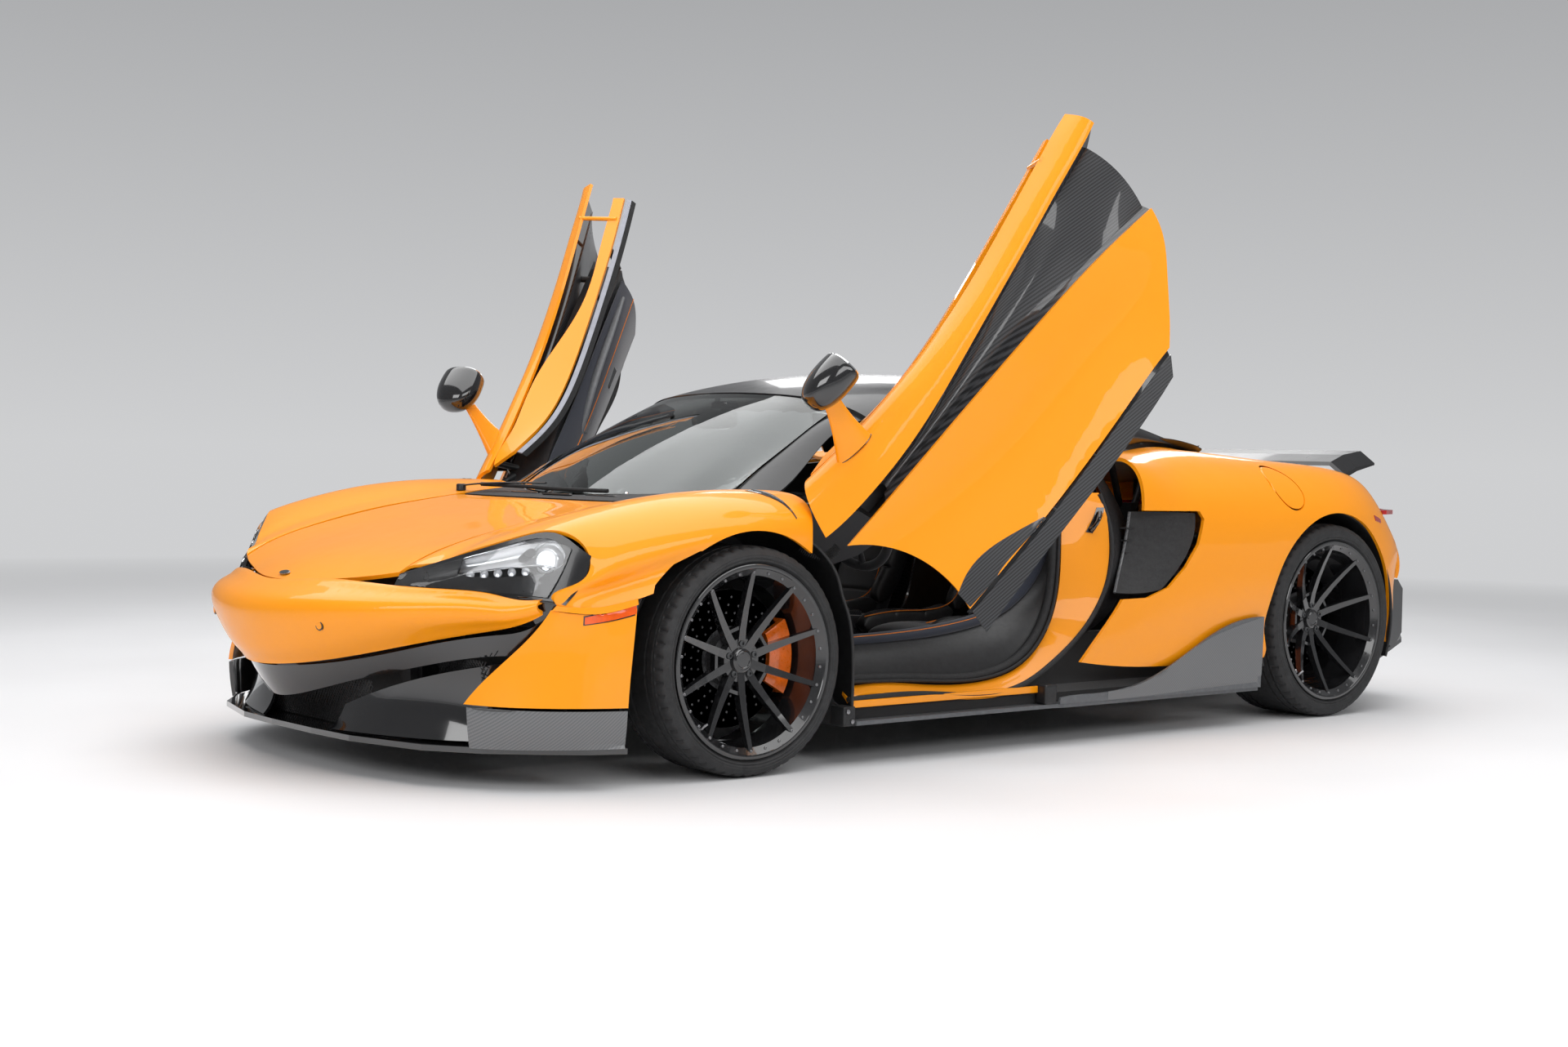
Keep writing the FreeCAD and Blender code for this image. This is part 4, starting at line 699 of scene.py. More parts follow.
for end, axle, hub, tyre_r, width, face_y, rim_r, dish, disc_r in (
    ("f", AXLE_F, HUB_F, 326.0, 235.0, 950.0, 274.0, 60.0, 197.0),
    ("r", AXLE_R, HUB_R, 346.5, 285.0, 956.0, 284.0, 95.0, 190.0),
):
    wheel = "wheel_" + end + "l"
    verts, faces = tyre_mesh(axle, hub, tyre_r, width, face_y, rim_r, 56)
    pair = make("tread_tyre_" + end, verts, faces, TYRE, wheel, angle=28)
    for obj, hand in zip(pair, "lr"):
        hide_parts("tyre_" + end + hand)
    rim_face = face_y - 5.0
    bolts = []
    for k in range(30):
        a = 2 * math.pi * (k + 0.5) / 30
        r = rim_r - 23
        spot = (axle + r * math.cos(a), rim_face - 10.5, hub + r * math.sin(a))
        bolts.append(revolved([(0.01, 0), (4.2, 0), (4.2, 3.6), (3.4, 4.4), (2.2, 4.4), (2.0, 2.6),
            (0.01, 2.6)], spot, Y, 10))
    make("rim_bolts_" + end, *joined(bolts), BOLT, wheel, angle=30)
    nuts = []
    for k in range(5):
        a = 2 * math.pi * (k + 0.25) / 5
        spot = (axle + 47 * math.cos(a), rim_face - dish, hub + 47 * math.sin(a))
        nuts.append(revolved([(0.01, 0), (9.5, 0), (9.5, 5), (7.5, 7), (4.5, 7), (4.2, 3), (0.01, 3)], spot,
            Y, 12))
    make("wheel_nuts_" + end, *joined(nuts), METAL_DARK, wheel, angle=30)
    turned("hub_cap_" + end, [(0.01, 3.0), (20, 3.0), (22, 4.5), (25, 4.5), (27, 2.2), (31, 1.2),
        (33.5, 0.2), (33.5, -1)], (axle, rim_face - dish + 7, hub), Y, BLACK, wheel, 40)
    turned("rim_lip_" + end, [(rim_r - 13, -0.5), (rim_r - 11.5, 1.6), (rim_r - 8, 2.2), (rim_r - 1.5, 2.0),
        (rim_r + 1, 0), (rim_r + 1, -4)], (axle, rim_face, hub), Y, ALLOY, wheel, 96)
    tube("valve_" + end, [(axle + 175, rim_face - 16, hub - rim_r + 92), (axle + 170, rim_face - 10,
        hub - rim_r + 101), (axle + 160, rim_face - 4, hub - rim_r + 110)], 3.4, BOLT, wheel, 6, 8)
    verts, faces = drilled_disc(disc_r, 92.0, 34.0, 3.6, hole_pattern(108, disc_r - 22, 4, 26))
    verts = verts + [axle, rim_face - dish - 30 - 40 + 8, hub]
    make("drilled_disc_" + end, verts, faces, CERAMIC, wheel, angle=30)


# Lamps and nose

LAMP_ROWS = [[(2203, 458, 532), (2085, 642, 523), (1996, 792, 511), (1974, 835, 508), (1952, 866, 505),
    (1934, 886, 500)],
    [(2196, 461, 548), (2085, 632, 578), (1992, 772, 604), (1936, 848, 604), (1908, 886, 578),
    (1886, 902, 566)],
    [(2188, 464, 566), (2071, 622, 629), (1989, 742, 673), (1920, 832, 686), (1882, 888, 644),
    (1866, 904, 630)]]
CLEAR_EDGE = [(0.44, 0.33), (0.34, 0.45), (0.33, 0.58), (0.35, 0.70), (0.38, 0.79), (0.45, 0.84),
    (0.60, 0.875), (0.78, 0.875), (0.90, 0.81), (0.93, 0.68), (0.93, 0.52), (0.86, 0.33)]
LAMP_EDGE = [(0, 0), (0, 0.5), (0, 0.62), (0, 0.74), (0, 0.88), (0, 1), (0.5, 1), (1, 1), (1, 0.87),
    (1, 0.73), (1, 0.5), (1, 0)]
lamp_grid = grid_points(LAMP_ROWS, 25, 65)
lamp_out = grid_normals(lamp_grid)
lamp_side = 1.0 if lamp_out[12, 32] @ np.array([1.0, 0.6, 0.4]) > 0 else -1.0
lamp_out = lamp_out * lamp_side
bordered("lamp_border", lamp_grid, LAMP_EDGE, CLEAR_EDGE, LAMP_BLACK, 0.6 * lamp_side, 9.5 * lamp_side,
    sides=2)


def lamp_bowl(name, u0, u1, v0, v1, edge, middle_depth, material, rows=14, cols=36):
    """A hollow behind the lens over part of its grid."""
    face, back = [], []
    for i in range(rows):
        line, rear = [], []
        for j in range(cols):
            s, t = i / (rows - 1), j / (cols - 1)
            u, v = u0 + (u1 - u0) * s, v0 + (v1 - v0) * t
            depth = edge + middle_depth * (math.sin(math.pi * s) * math.sin(math.pi * t)) ** 0.6
            spot, out = spread_over(lamp_grid, u, v), spread_over(lamp_out, u, v)
            line.append(spot - out * depth)
            rear.append(spot - out * (depth + 2.5))
        face.append(line)
        back.append(rear)
    return make(name, *shell_mesh(np.array(face), np.array(back)), material)


lamp_bowl("lamp_reflector", 0.50, 0.98, 0.22, 0.93, 9.5, 30.0, REFLECTOR)
lamp_bowl("lamp_floor", 0.26, 0.52, 0.26, 0.93, 10.0, 20.0, BLACK)
lamp_bowl("lamp_back", 0.0, 1.0, 0.0, 1.0, 46.0, 10.0, SATIN)
PROJECTOR = np.array([1938.0, 806.0, 612.0])
LOOK_OUT = np.array([0.86, 0.50, 0.08])
turned("projector_bezel", [(27, 10), (31, 9), (36, 4), (40, -4), (44, -8), (44, -14), (27, -14), (27, 10)],
    PROJECTOR, LOOK_OUT, REFLECTOR, count=48)
turned("projector_rings", [(48, -14), (49, -9), (51, -9), (52, -14), (55, -14), (56, -8), (58, -8),
    (59, -14), (59, -17), (48, -17), (48, -14)], PROJECTOR, LOOK_OUT, REFLECTOR, count=48)
turned("projector_lens", [(0.01, 16), (10, 14.5), (18, 10.5), (25, 4), (27, 0), (27, -6), (0.01, -6)],
    PROJECTOR, LOOK_OUT, GLOW, count=40)
for k in range(5):
    v = 0.40 + 0.075 * k
    spot = spread_over(lamp_grid, 0.42, v) - spread_over(lamp_out, 0.42, v) * 12
    turned("lamp_cell_%d" % k, [(0.01, 0), (11, 0), (12, 6), (10.5, 8), (9, 3), (0.01, 1.5)], spot,
        (0.8, 0.55, 0.1), REFLECTOR, count=20)
line = [spread_over(lamp_grid, 0.49 + 0.05 * k / 11, 0.40 + 0.46 * k / 11) - spread_over(lamp_out, 0.5,
    0.40 + 0.46 * k / 11) * 11 for k in range(12)]
tube("lamp_guide", line, 2.0, CHROME, count=30, sides_n=8)
tube("lamp_lip", [spread_over(lamp_grid, 0.0, 0.08 + 0.86 * k / 11) + spread_over(lamp_out, 0, 0.5) * 1.5
    for k in range(12)], 3.4, BLACK, count=48, sides_n=8)
panel("lamp_corner", [[(2010, 772, 520), (1962, 842, 520), (1930, 884, 530)],
    [(1992, 790, 488), (1950, 840, 488), (1916, 884, 500)],
    [(1966, 800, 436), (1936, 830, 436), (1912, 856, 448)]], 4.0, BLACK, across=8, along=12)

SEAM_FILL = [[(1956, 858, 487), (1895, 904, 477), (1830, 928, 479), (1742, 945, 500)],
             [(1950, 868, 500), (1862, 917, 494), (1800, 933, 504), (1744, 944, 516)]]
panel("seam_fill", SEAM_FILL, 5.0, PAINT, lift=-2.0, across=5, along=24)

# Amber marker across the seam between fender and corner panel
laid("amber_marker", [[(1886, 906, 468), (1816, 928, 484), (1746, 946, 502)],
    [(1886, 906, 449), (1816, 928, 460), (1746, 946, 476)]], "front_bumper", INWARD, AMBER, lift=2.2,
    thickness=8, across=6, along=20)
laid("marker_edge", [[(1889, 905, 471), (1816, 929, 487), (1743, 946, 505)],
    [(1889, 905, 446), (1816, 928, 457), (1743, 946, 473)]], "front_bumper", INWARD, BLACK, lift=1.2,
    thickness=8, across=6, along=20)

# Bare badge on the nose
BADGE = np.array([2306.0, 0.0, 541.0])
badge_points = [(27 * math.cos(a), 11 * math.sin(a)) for a in np.linspace(0, 2 * math.pi, 36, endpoint=False)]
slab("badge_rim", badge_points, BADGE - [14, 0, -5], Y, (-0.88, 0, 0.47), (0.47, 0, 0.88), 4.0, STEEL,
    sides=1, bevel=1.0)
slab("badge_face", [(p * 0.86, q * 0.82) for p, q in badge_points], BADGE - [14, 0, -5], Y, (-0.88, 0, 0.47),
    (0.47, 0, 0.88), 5.0, BLACK, sides=1, bevel=0.8)

# Sensors, camera and intake meshes
for name, centre, axis, material, node in (
    ("sensor_outer", (2024, 657, 425), (0.80, 0.55, 0.2), BLACK, "lower_nose"),
    ("sensor_inner", (2372, 331, 421), (0.95, 0.25, -0.1), PAINT, "front_bumper"),
):
    spot = landed(centre, node, (-0.9, -0.4, 0))
    turned(name, [(0.01, 3), (9, 3), (10, 2.2), (10, -12), (0.01, -12)], spot, axis, material, count=28)
    turned(name + "_ring", [(10.6, 1.6), (13, 1.8), (13.6, 1.0), (13.6, -12), (10.6, -12), (10.6, 1.6)],
        spot, axis, BLACK, count=28)
button("nose_camera", (2286, 0, 218), (0.9, 0, -0.35), 15, 16, BLACK, sides=1)
button("nose_camera_lens", (2300, 0, 212), (0.9, 0, -0.35), 7, 4, SCREEN_OFF, sides=1)
MESH_BACK = [(2095, -430, 330), (2105, -200, 330), (2108, 0, 330), (2105, 200, 330), (2095, 430, 330)]
panel("nose_mesh_back", [MESH_BACK, shifted(MESH_BACK, 0, 0, -212)], 4.0, SATIN, sides=1,
      across=4, along=12)
wire_mesh("nose_mesh", (2165, -330, 118), (2195, 330, 262), 15, 1.7, PLASTIC, sides=1)
wire_mesh("side_mesh", (2010, 430, 120), (2060, 700, 340), 15, 1.7, PLASTIC)
SIDE_DUCT = [(2040, 430, 350), (1965, 560, 350), (1900, 700, 350), (1865, 800, 350)]
panel("side_duct", [SIDE_DUCT, shifted(SIDE_DUCT, 0, 0, -234)], 4.0, SATIN, across=4, along=14)

# Carbon blades at the splitter's ends and the side skirts' rear fins
END_BLADE_ROWS = [
    [(2122, 706, 224), (2003, 846, 220), (1878, 915, 218), (1769, 944, 216)],
    [(2118, 706, 170), (2003, 838, 168), (1878, 908, 166), (1769, 940, 165)],
    [(2110, 704, 114), (2000, 820, 114), (1876, 895, 114), (1769, 932, 114)],
]
laid("splitter_blade", END_BLADE_ROWS, "splitter", (-0.45, -0.9, 0), CARBON_GREY, lift=1.4, thickness=5.0,
    across=12, along=28)
SKIRT_ROWS = [
    [(-128, 960, 161), (-277, 966, 178), (-567, 970, 293), (-915, 970, 376)],
    [(-128, 960, 147), (-300, 963, 156), (-580, 968, 215), (-912, 969, 260)],
    [(-128, 959, 132), (-320, 962, 132), (-590, 966, 132), (-907, 968, 132)],
]
laid("skirt_fin", SKIRT_ROWS, "side_skirts", INWARD, CARBON_GREY, lift=1.2, thickness=5.0, across=12,
    along=36)

# Vent in the fender's rear corner, wiper and washer jet
laid("fender_vent", [[(1262, 800, 806), (1230, 845, 793), (1196, 890, 765), (1176, 926, 724)],
    [(1205, 770, 806), (1196, 826, 800), (1186, 880, 772), (1172, 924, 727)]], "front_fenders",
    (0, -0.35, -1), BLACK, lift=1.6, thickness=8, across=8, along=24)
laid("fender_vent_blade", [[(1226, 790, 806), (1214, 835, 797), (1192, 884, 768)],
    [(1219, 788, 806), (1206, 832, 797), (1187, 882, 768)]], "front_fenders", (0, -0.35, -1), CARBON_GREY,
    lift=3.4, thickness=6, across=4, along=20)
tube("wiper_arm", [(1398, -520, 786), (1372, -430, 795), (1330, -300, 800), (1292, -180, 802)], 6.0, SATIN,
    sides=1, count=30, sides_n=8, flat=0.5)
tube("wiper_blade", [(1352, -470, 792), (1335, -250, 790), (1336, 20, 786), (1318, 200, 786)], 5.0, RUBBER,
    sides=1, count=40, sides_n=8, flat=1.3)
button("wiper_pivot", (1398, -520, 770), Z, 16, 22, SATIN, sides=1)
button("washer_jet", (1290, 258, 776), Z, 7, 9, CHROME, sides=1)
for y, x in ((0, 1372), (210, 1352), (-210, 1352)):
    block("cowl_slot_%d" % (y + 500), (x - 8, y - 78, 768), (x + 4, y + 78, 774), BLACK, sides=1)


# Wheel housings and sills

FRONT_LINER = [(940, 150), (940, 330), (948, 400), (962, 450), (985, 500), (1000, 545), (1045, 610),
    (1110, 660), (1200, 700), (1335, 716), (1480, 704), (1590, 660), (1680, 570), (1735, 450), (1762, 330),
    (1775, 200), (1778, 130)]
REAR_LINER_R = 393.0
rear_liner = [(AXLE_R + REAR_LINER_R * math.cos(a), HUB_R + REAR_LINER_R * math.sin(a))
    for a in np.linspace(math.radians(-22), math.radians(202), 24)]
for name, profile, inner_y, outer_y in (("front_liner", FRONT_LINER, 560, 912),
        ("rear_liner", rear_liner, 600, 925)):
    panel(name, [[(x, y, z) for x, z in profile] for y in (inner_y, (inner_y + outer_y) / 2, outer_y)], 4.0,
        SATIN, across=4, along=60)
    crown = [(x, z) for x, z in profile if z > 560]
    panel(name + "_wall", [[(x, inner_y, z - drop) for x, z in crown] for drop in (0.0, 90.0, 190.0)], 4.0,
        SATIN, across=4, along=40)
    tube(name + "_lip", [(x, outer_y + 2, z) for x, z in profile], 5.0, PLASTIC, count=80, sides_n=8)

SEAL_PATH = [(930, 838, 244), (640, 834, 234), (280, 828, 232), (118, 822, 294), (16, 815, 424),
    (-20, 806, 604), (-34, 796, 700), (-60, 778, 795)]
tube("aperture_seal", SEAL_PATH, 15, RUBBER, count=110, sides_n=12)
tube("aperture_seal_lip", shifted(SEAL_PATH, -4, 21, -6), 5, RUBBER, count=110, sides_n=8)
tube("door_frame_seal", [(945, 903, 193), (640, 903, 193), (215, 902, 195), (60, 898, 264), (-106, 898, 390),
    (-192, 894, 528), (-206, 884, 682), (-186, 852, 796)], 8.5, RUBBER, count=110, sides_n=10)
SILL_TOP = [(925, 690, 338), (600, 690, 346), (300, 692, 372), (110, 700, 425), (0, 724, 520),
    (-45, 752, 640)]
SILL_LOW = [(930, 826, 234), (640, 822, 226), (280, 816, 226), (118, 812, 290), (14, 806, 424),
    (-28, 792, 610)]
SILL_MID = [(x1 * 0.5 + x2 * 0.5, y1 * 0.5 + y2 * 0.5 + 14, z1 * 0.5 + z2 * 0.5 + 16)
            for (x1, y1, z1), (x2, y2, z2) in zip(SILL_TOP, SILL_LOW)]
panel("sill_trim", [SILL_TOP, SILL_MID, SILL_LOW], 5.0, SATIN, across=16, along=50)
tube("sill_bolster", shifted(SILL_TOP, 0, 6, 0), 25, NAVY, count=70, sides_n=16, flat=0.8)
tube("sill_bolster_stitch", shifted(SILL_TOP, 0, 24, 14), 1.4, STITCH, count=70, sides_n=6)
block("sill_end", (938, 868, 118), (984, 930, 176), PLASTIC, bevel=4)
for k, (x, z) in enumerate(((952, 132), (970, 162))):
    button("sill_bolt_%d" % k, (x, 930, z), Y, 7, 5, BOLT)
block("sill_strip", (120, 900, 168), (938, 912, 190), PAINT, bevel=3)
block("skirt_foot", (96, 900, 132), (150, 948, 196), SATIN, bevel=8)
tube("latch_striker", [(-168, 872, 738), (-158, 880, 722), (-142, 874, 692), (-137, 862, 680)], 7.0, BLACK,
    count=20, sides_n=10)
laid("latch_plate", [[(-190, 866, 752), (-164, 866, 752)], [(-178, 864, 715), (-148, 862, 715)],
    [(-146, 858, 668), (-122, 856, 672)]], "door_frames", (-0.3, -1, 0), BLACK, lift=2.0, thickness=4,
    across=8, along=8)
tube("gas_strut", [(1004, 700, 640), (955, 690, 250)], 9.5, SATIN, count=2, sides_n=14, smooth=False)
tube("gas_strut_rod", [(1018, 704, 730), (1000, 700, 600)], 5.0, CHROME, count=2, sides_n=12, smooth=False)
sleeve = spline([(1080, 835, 640), (1050, 862, 618), (1010, 880, 618), (985, 890, 640)], 46)
verts, faces = swept(sleeve, ring_section(12, 12), scale=[1.0 + (0.22 if k % 2 else 0.0) for k in range(46)])
make("door_cable_sleeve", verts, faces, RUBBER)

# Intake behind the door: its lip and the dark tunnel beside the pillar
tube("intake_lip", [(-322, 865, 738), (-306, 863, 640), (-270, 871, 545), (-222, 895, 474)], 5.0,
    CARBON_GREY, count=50, sides_n=8)
panel("intake_tunnel", [[(-205, 800, 860), (-212, 880, 700), (-200, 890, 540), (-120, 892, 400),
    (-40, 880, 330)],
    [(-330, 700, 880), (-380, 790, 700), (-380, 800, 520), (-300, 800, 400), (-160, 800, 330)]], 4.0, SATIN,
    across=12, along=30)
for z in (520, 560, 600, 640, 680):
    block("intake_vane_%d" % z, (-372, 800, z), (-300, 872, z + 5), PLASTIC, bevel=1)


# Doors

def loft(name, rings, material, **options):
    """Closed skin through rings of points."""
    rows, cols = len(rings), len(rings[0])
    verts = [p for ring in rings for p in ring]
    faces = lattice(rows, cols, wrap_cols=True) + end_caps(rows, cols)
    return make(name, verts, faces, material, **options)


def oval(centre, a, b, count=28, power=1.0):
    """A ring round a centre with half axes a and b, squarer where the power is below 1."""
    centre, a, b = (np.asarray(q, float) for q in (centre, a, b))
    ring = []
    for t in np.linspace(0, 2 * math.pi, count, endpoint=False):
        c, s = math.cos(t), math.sin(t)
        ring.append(centre + a * math.copysign(abs(c) ** power, c) + b * math.copysign(abs(s) ** power, s))
    return ring


DOOR = {"body": "door_left", "door": True}
HOUSING = np.array([780.0, 985.0, 960.0])
shell = []
for t in np.linspace(0.03, 0.97, 26):
    x = 100 * math.cos(math.pi * t)
    swell = max(math.sin(math.pi * t), 0.02) ** (0.75 if x > 0 else 0.42)
    x = max(x, -58 + 4 * swell)
    shell.append(oval(HOUSING + [x, 0, 4], (0, 78 * swell, 0), (0, 0, 58 * swell), 36, 0.86))
for obj, hand in zip(loft("mirror_shell", shell, BLACK, **DOOR), ("left", "right")):
    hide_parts("mirror_" + hand)
loft("mirror_face", [oval(HOUSING + [-56, 0, 4], (0, 68, 0), (0, 0, 49), 36, 0.86),
    oval(HOUSING + [-60, 0, 4], (0, 66, 0), (0, 0, 47), 36, 0.86)], MIRROR, **DOOR)
stalk = []
for t in np.linspace(0, 1, 14):
    flare = (1 - t) ** 1.7
    centre = np.array([868, 902, 766]) * (1 - t) + np.array([812, 962, 938]) * t
    stalk.append(oval(centre, np.array([24 + 40 * flare, -5 * flare, 6]),
        np.array([0, 7 + 10 * flare, -5 - 6 * flare + 10 * t]), 28, 0.9))
loft("mirror_stalk", stalk, PAINT, **DOOR)
tube("mirror_foot_seam", oval((868, 902, 767), (66, -5, 6), (0, 18, -11), 28), 1.5, BLACK, closed=True,
    smooth=False, sides_n=6, **DOOR)

laid("door_carbon_patch", [[(978, 953, 262), (921, 947, 279), (829, 940, 278), (744, 930, 254),
    (640, 925, 216)],
    [(984, 955, 209), (921, 954, 207), (829, 952, 207), (744, 951, 207), (640, 950, 209)]], "door_skin_left",
    INWARD, CARBON, lift=1.3, thickness=4, across=10, along=30, **DOOR)
FILLS = {"foot_fill": ([(1000, 946, 204), (860, 943, 206), (590, 939, 213), (300, 941, 235), (120, 946, 254),
    (26, 950, 262)],
    [(992, 948, 190), (800, 948, 190), (600, 948, 197), (359, 948, 218), (150, 950, 234), (34, 952, 242)],
    BLACK), "channel_fill": ([(900, 908, 616), (640, 902, 618), (390, 900, 619), (165, 904, 619),
    (-60, 912, 615), (-240, 920, 601)],
    [(930, 936, 594), (640, 932, 596), (390, 932, 598), (165, 934, 598), (-60, 938, 592), (-244, 941, 576)],
    CARBON), "blade_fill": ([(880, 902, 632), (658, 890, 650), (416, 877, 695), (173, 865, 743),
    (-70, 861, 793), (-266, 865, 830)],
    [(900, 932, 655), (658, 922, 672), (416, 912, 716), (173, 902, 764), (-70, 894, 814), (-316, 890, 868)],
    BLACK)}
for name, (upper, lower, material) in FILLS.items():
    panel(name, [upper, lower], 4.0, material, across=4, along=50, **DOOR)
BELT_INNER = [(930, 786, 796), (800, 742, 774), (675, 722, 762), (472, 710, 772), (240, 700, 808),
    (-56, 690, 866), (-242, 690, 906)]
panel("window_seal", [shifted(BELT_INNER, 0, -9, -9), shifted(BELT_INNER, -1, -24, -18)], 6.0, WINDOW_TRIM,
    across=5, along=60, **DOOR)
panel("window_seal_dark", [shifted(BELT_INNER, 0, -23, -16), shifted(BELT_INNER, -2, -32, -34)], 6.0, RUBBER,
    across=5, along=60, **DOOR)
tube("door_seal", [(950, 806, 600), (900, 806, 430), (862, 812, 352), (500, 815, 346), (120, 815, 348),
    (50, 815, 430), (-2, 812, 590), (-20, 800, 690)], 11, RUBBER, count=120, sides_n=10, **DOOR)
TRIM_TOP = [(900, 712, 690), (640, 698, 700), (300, 694, 712), (0, 700, 708)]
TRIM_MID = [(880, 700, 600), (640, 682, 610), (300, 680, 620), (0, 694, 616)]
TRIM_LOW = [(840, 742, 480), (640, 738, 460), (300, 736, 450), (30, 738, 450)]
panel("door_trim", [TRIM_TOP, TRIM_MID, TRIM_LOW], 6.0, NAVY, across=20, along=50, **DOOR)
PULL = [(742, 706, 520), (690, 692, 590), (600, 676, 640), (470, 668, 672), (330, 668, 684), (180, 676, 684),
    (60, 690, 676)]
path = spline(PULL, 70)
verts, faces = swept(path, ring_section(17, 16, 0.62), scale=[0.45 + 0.55 * math.sin(math.pi * min(1,
    0.12 + 0.8 * k / 69)) ** 0.6 for k in range(70)])
make("door_pull", verts, faces, TRIM_GREY, **DOOR)
slab("door_handle", [(-52, -14), (40, -20), (58, 0), (40, 18), (-52, 14)], (610, 688, 590), (1, 0, 0.1), Z,
    INWARD, 12, TRIM_GREY, bevel=4, **DOOR)
slab("door_switches", rect(46, 16), (360, 690, 560), X, Z, INWARD, 10, BLACK, bevel=3, **DOOR)
turned("door_speaker", [(0.01, 3), (50, 3), (58, 6), (62, 6), (62, 0), (0.01, 0)], (760, 741, 430), INWARD,
    SATIN, count=48, **DOOR)
tube("door_trim_stitch", shifted(TRIM_MID, 0, -8, -6), 1.4, STITCH, count=60, sides_n=6, **DOOR)


# Cabin

def pad(name, spine, width, thick, material, seams=(), fill=0.7, rise=0.0, power=0.62, cols=90, **options):
    """A padded form carried along a spine in the x-z plane, drawn in at its sewn channels and its ends."""
    path = spline(spine, cols)
    tangent = np.gradient(path, axis=0)
    tangent /= np.linalg.norm(tangent, axis=1, keepdims=True)
    rings = []
    for k, (p, t) in enumerate(zip(path, tangent)):
        s = k / (cols - 1)
        end = (1 - abs(2 * s - 1) ** 8) ** 0.5 if 0 < k < cols - 1 else 0.06
        draw = 1.0 - 0.26 * sum(math.exp(-((s - seam) / 0.011) ** 2) for seam in seams)
        across = np.array([0.0, 1.0, 0.0])
        out = np.cross(t, across)
        if out @ np.array([1.0, 0, 1.0]) < 0:
            out = -out
        ring = []
        for a in np.linspace(0, 2 * math.pi, 44, endpoint=False):
            c, d = math.cos(a), math.sin(a)
            w = math.copysign(abs(c) ** power, c) * width / 2 * (0.90 + 0.10 * end)
            crown = 1.0 + rise * (1 - (2 * w / width) ** 2)
            h = math.copysign(abs(d) ** power, d) * thick / 2 * end * (draw * crown if d > 0 else 1.0)
            ring.append(p + across * w + out * h)
        rings.append(ring)
    pieces = loft(name, rings, material, **options)
    return pieces


SEAT_Y = 370.0
BASE_SPINE = [(262, SEAT_Y, 312), (120, SEAT_Y, 312), (-60, SEAT_Y, 288), (-196, SEAT_Y, 272)]
BACK_SPINE = [(-214, SEAT_Y, 300), (-276, SEAT_Y, 470), (-340, SEAT_Y, 650), (-392, SEAT_Y, 800)]
HEAD_SPINE = [(-396, SEAT_Y, 806), (-428, SEAT_Y, 880), (-452, SEAT_Y, 944)]
cushions = pad("seat_cushion", BASE_SPINE, 300, 66, SEAT, (0.22, 0.44, 0.66), rise=0.25)
backs = pad("seat_back", BACK_SPINE, 300, 70, SEAT, (0.2, 0.4, 0.6, 0.8), rise=0.2)
for obj in cushions + backs:
    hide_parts("seats")
pad("seat_head", HEAD_SPINE, 250, 58, SEAT, (0.5,), rise=0.2, cols=50)
for side in (-1, 1):
    y = SEAT_Y + side * 172
    tag = "inner" if side < 0 else "outer"
    seam_y = y - side * 22
    pad("thigh_bolster_" + tag, [(268, y, 335), (120, y, 345), (-60, y, 345), (-150, y, 372)], 50, 84,
        LEATHER, (0.34, 0.67), power=0.8)
    pad("side_bolster_" + tag, [(-158, y, 380), (-236, y, 480), (-296, y, 640), (-376, y, 780)], 50, 92,
        LEATHER, (0.3, 0.6), power=0.8)
    tube("bolster_piping_" + tag, [(268, seam_y, 366), (120, seam_y, 380), (-60, seam_y, 382),
        (-150, seam_y, 412), (-198, seam_y, 500), (-258, seam_y, 660), (-335, seam_y, 800)], 2.0, STITCH,
        count=80, sides_n=6)
SHELL_SPINE = [(270, 286), (100, 268), (-140, 242), (-262, 300), (-330, 480), (-392, 660), (-452, 830),
    (-500, 950)]
panel("seat_shell", [[(x, y, z + lift) for x, z in SHELL_SPINE] for y, lift in ((178, 40), (200, 6),
    (370, 0), (540, 6), (562, 40))], 7.0, CARBON, across=24, along=60)
block("seat_plinth", (-300, 220, 139), (220, 520, 236), PLASTIC, bevel=10)
for y in (236, 504):
    block("seat_rail_%d" % y, (-320, y - 14, 138.5), (250, y + 14, 160), METAL_DARK, bevel=2)

# Dash: screen, vents, cluster hood, wheel and mirror
SCREEN_UP, SCREEN_OUT = (0.42, 0, 0.91), (-0.91, 0, 0.42)
slab("dash_screen", rect(62, 98), (600, 0, 600), Y, SCREEN_UP, SCREEN_OUT, 12, SCREEN_OFF, sides=1, bevel=5)
slab("dash_screen_rim", rect(70, 106), (603, 0, 599), Y, SCREEN_UP, SCREEN_OUT, 8, BLACK, sides=1, bevel=6)
slab("cluster_screen", [(-120, -46), (120, -46), (104, 46), (-104, 46)], (622, 370, 700), Y, (0.2, 0, 0.98),
    (-0.98, 0, 0.2), 8, SCREEN_OFF, sides=1, bevel=6)
panel("cluster_hood", [[(700, 230, 735), (705, 300, 772), (707, 370, 782), (705, 440, 772), (700, 510, 735)],
    [(590, 240, 722), (592, 305, 758), (592, 370, 766), (592, 435, 758), (590, 500, 722)]], 7.0, SUEDE,
    sides=1, across=10, along=30)
for y in (150, 560, -150, -560):
    slab("dash_vent_%d" % (y + 600), [(-52, -20), (52, -20), (44, 20), (-44, 20)], (630, y, 665), Y,
        (0.1, 0, 1), (-1, 0, 0.1), 8, TRIM_GREY, sides=1, bevel=3)
    for k in range(4):
        slab("dash_slat_%d_%d" % (y + 600, k), rect(42, 2), (621, y, 653 + 8 * k), Y, (0.1, 0, 1),
            (-1, 0, 0.1), 5, BLACK, sides=1, bevel=0.5)
WHEEL_CENTRE = np.array([470.0, 370.0, 708.0])
WHEEL_AXIS = np.array([-140.0, 0.0, 50.0]) / math.hypot(140, 50)
STEERED = {"body": "steering_wheel", "sides": 1}
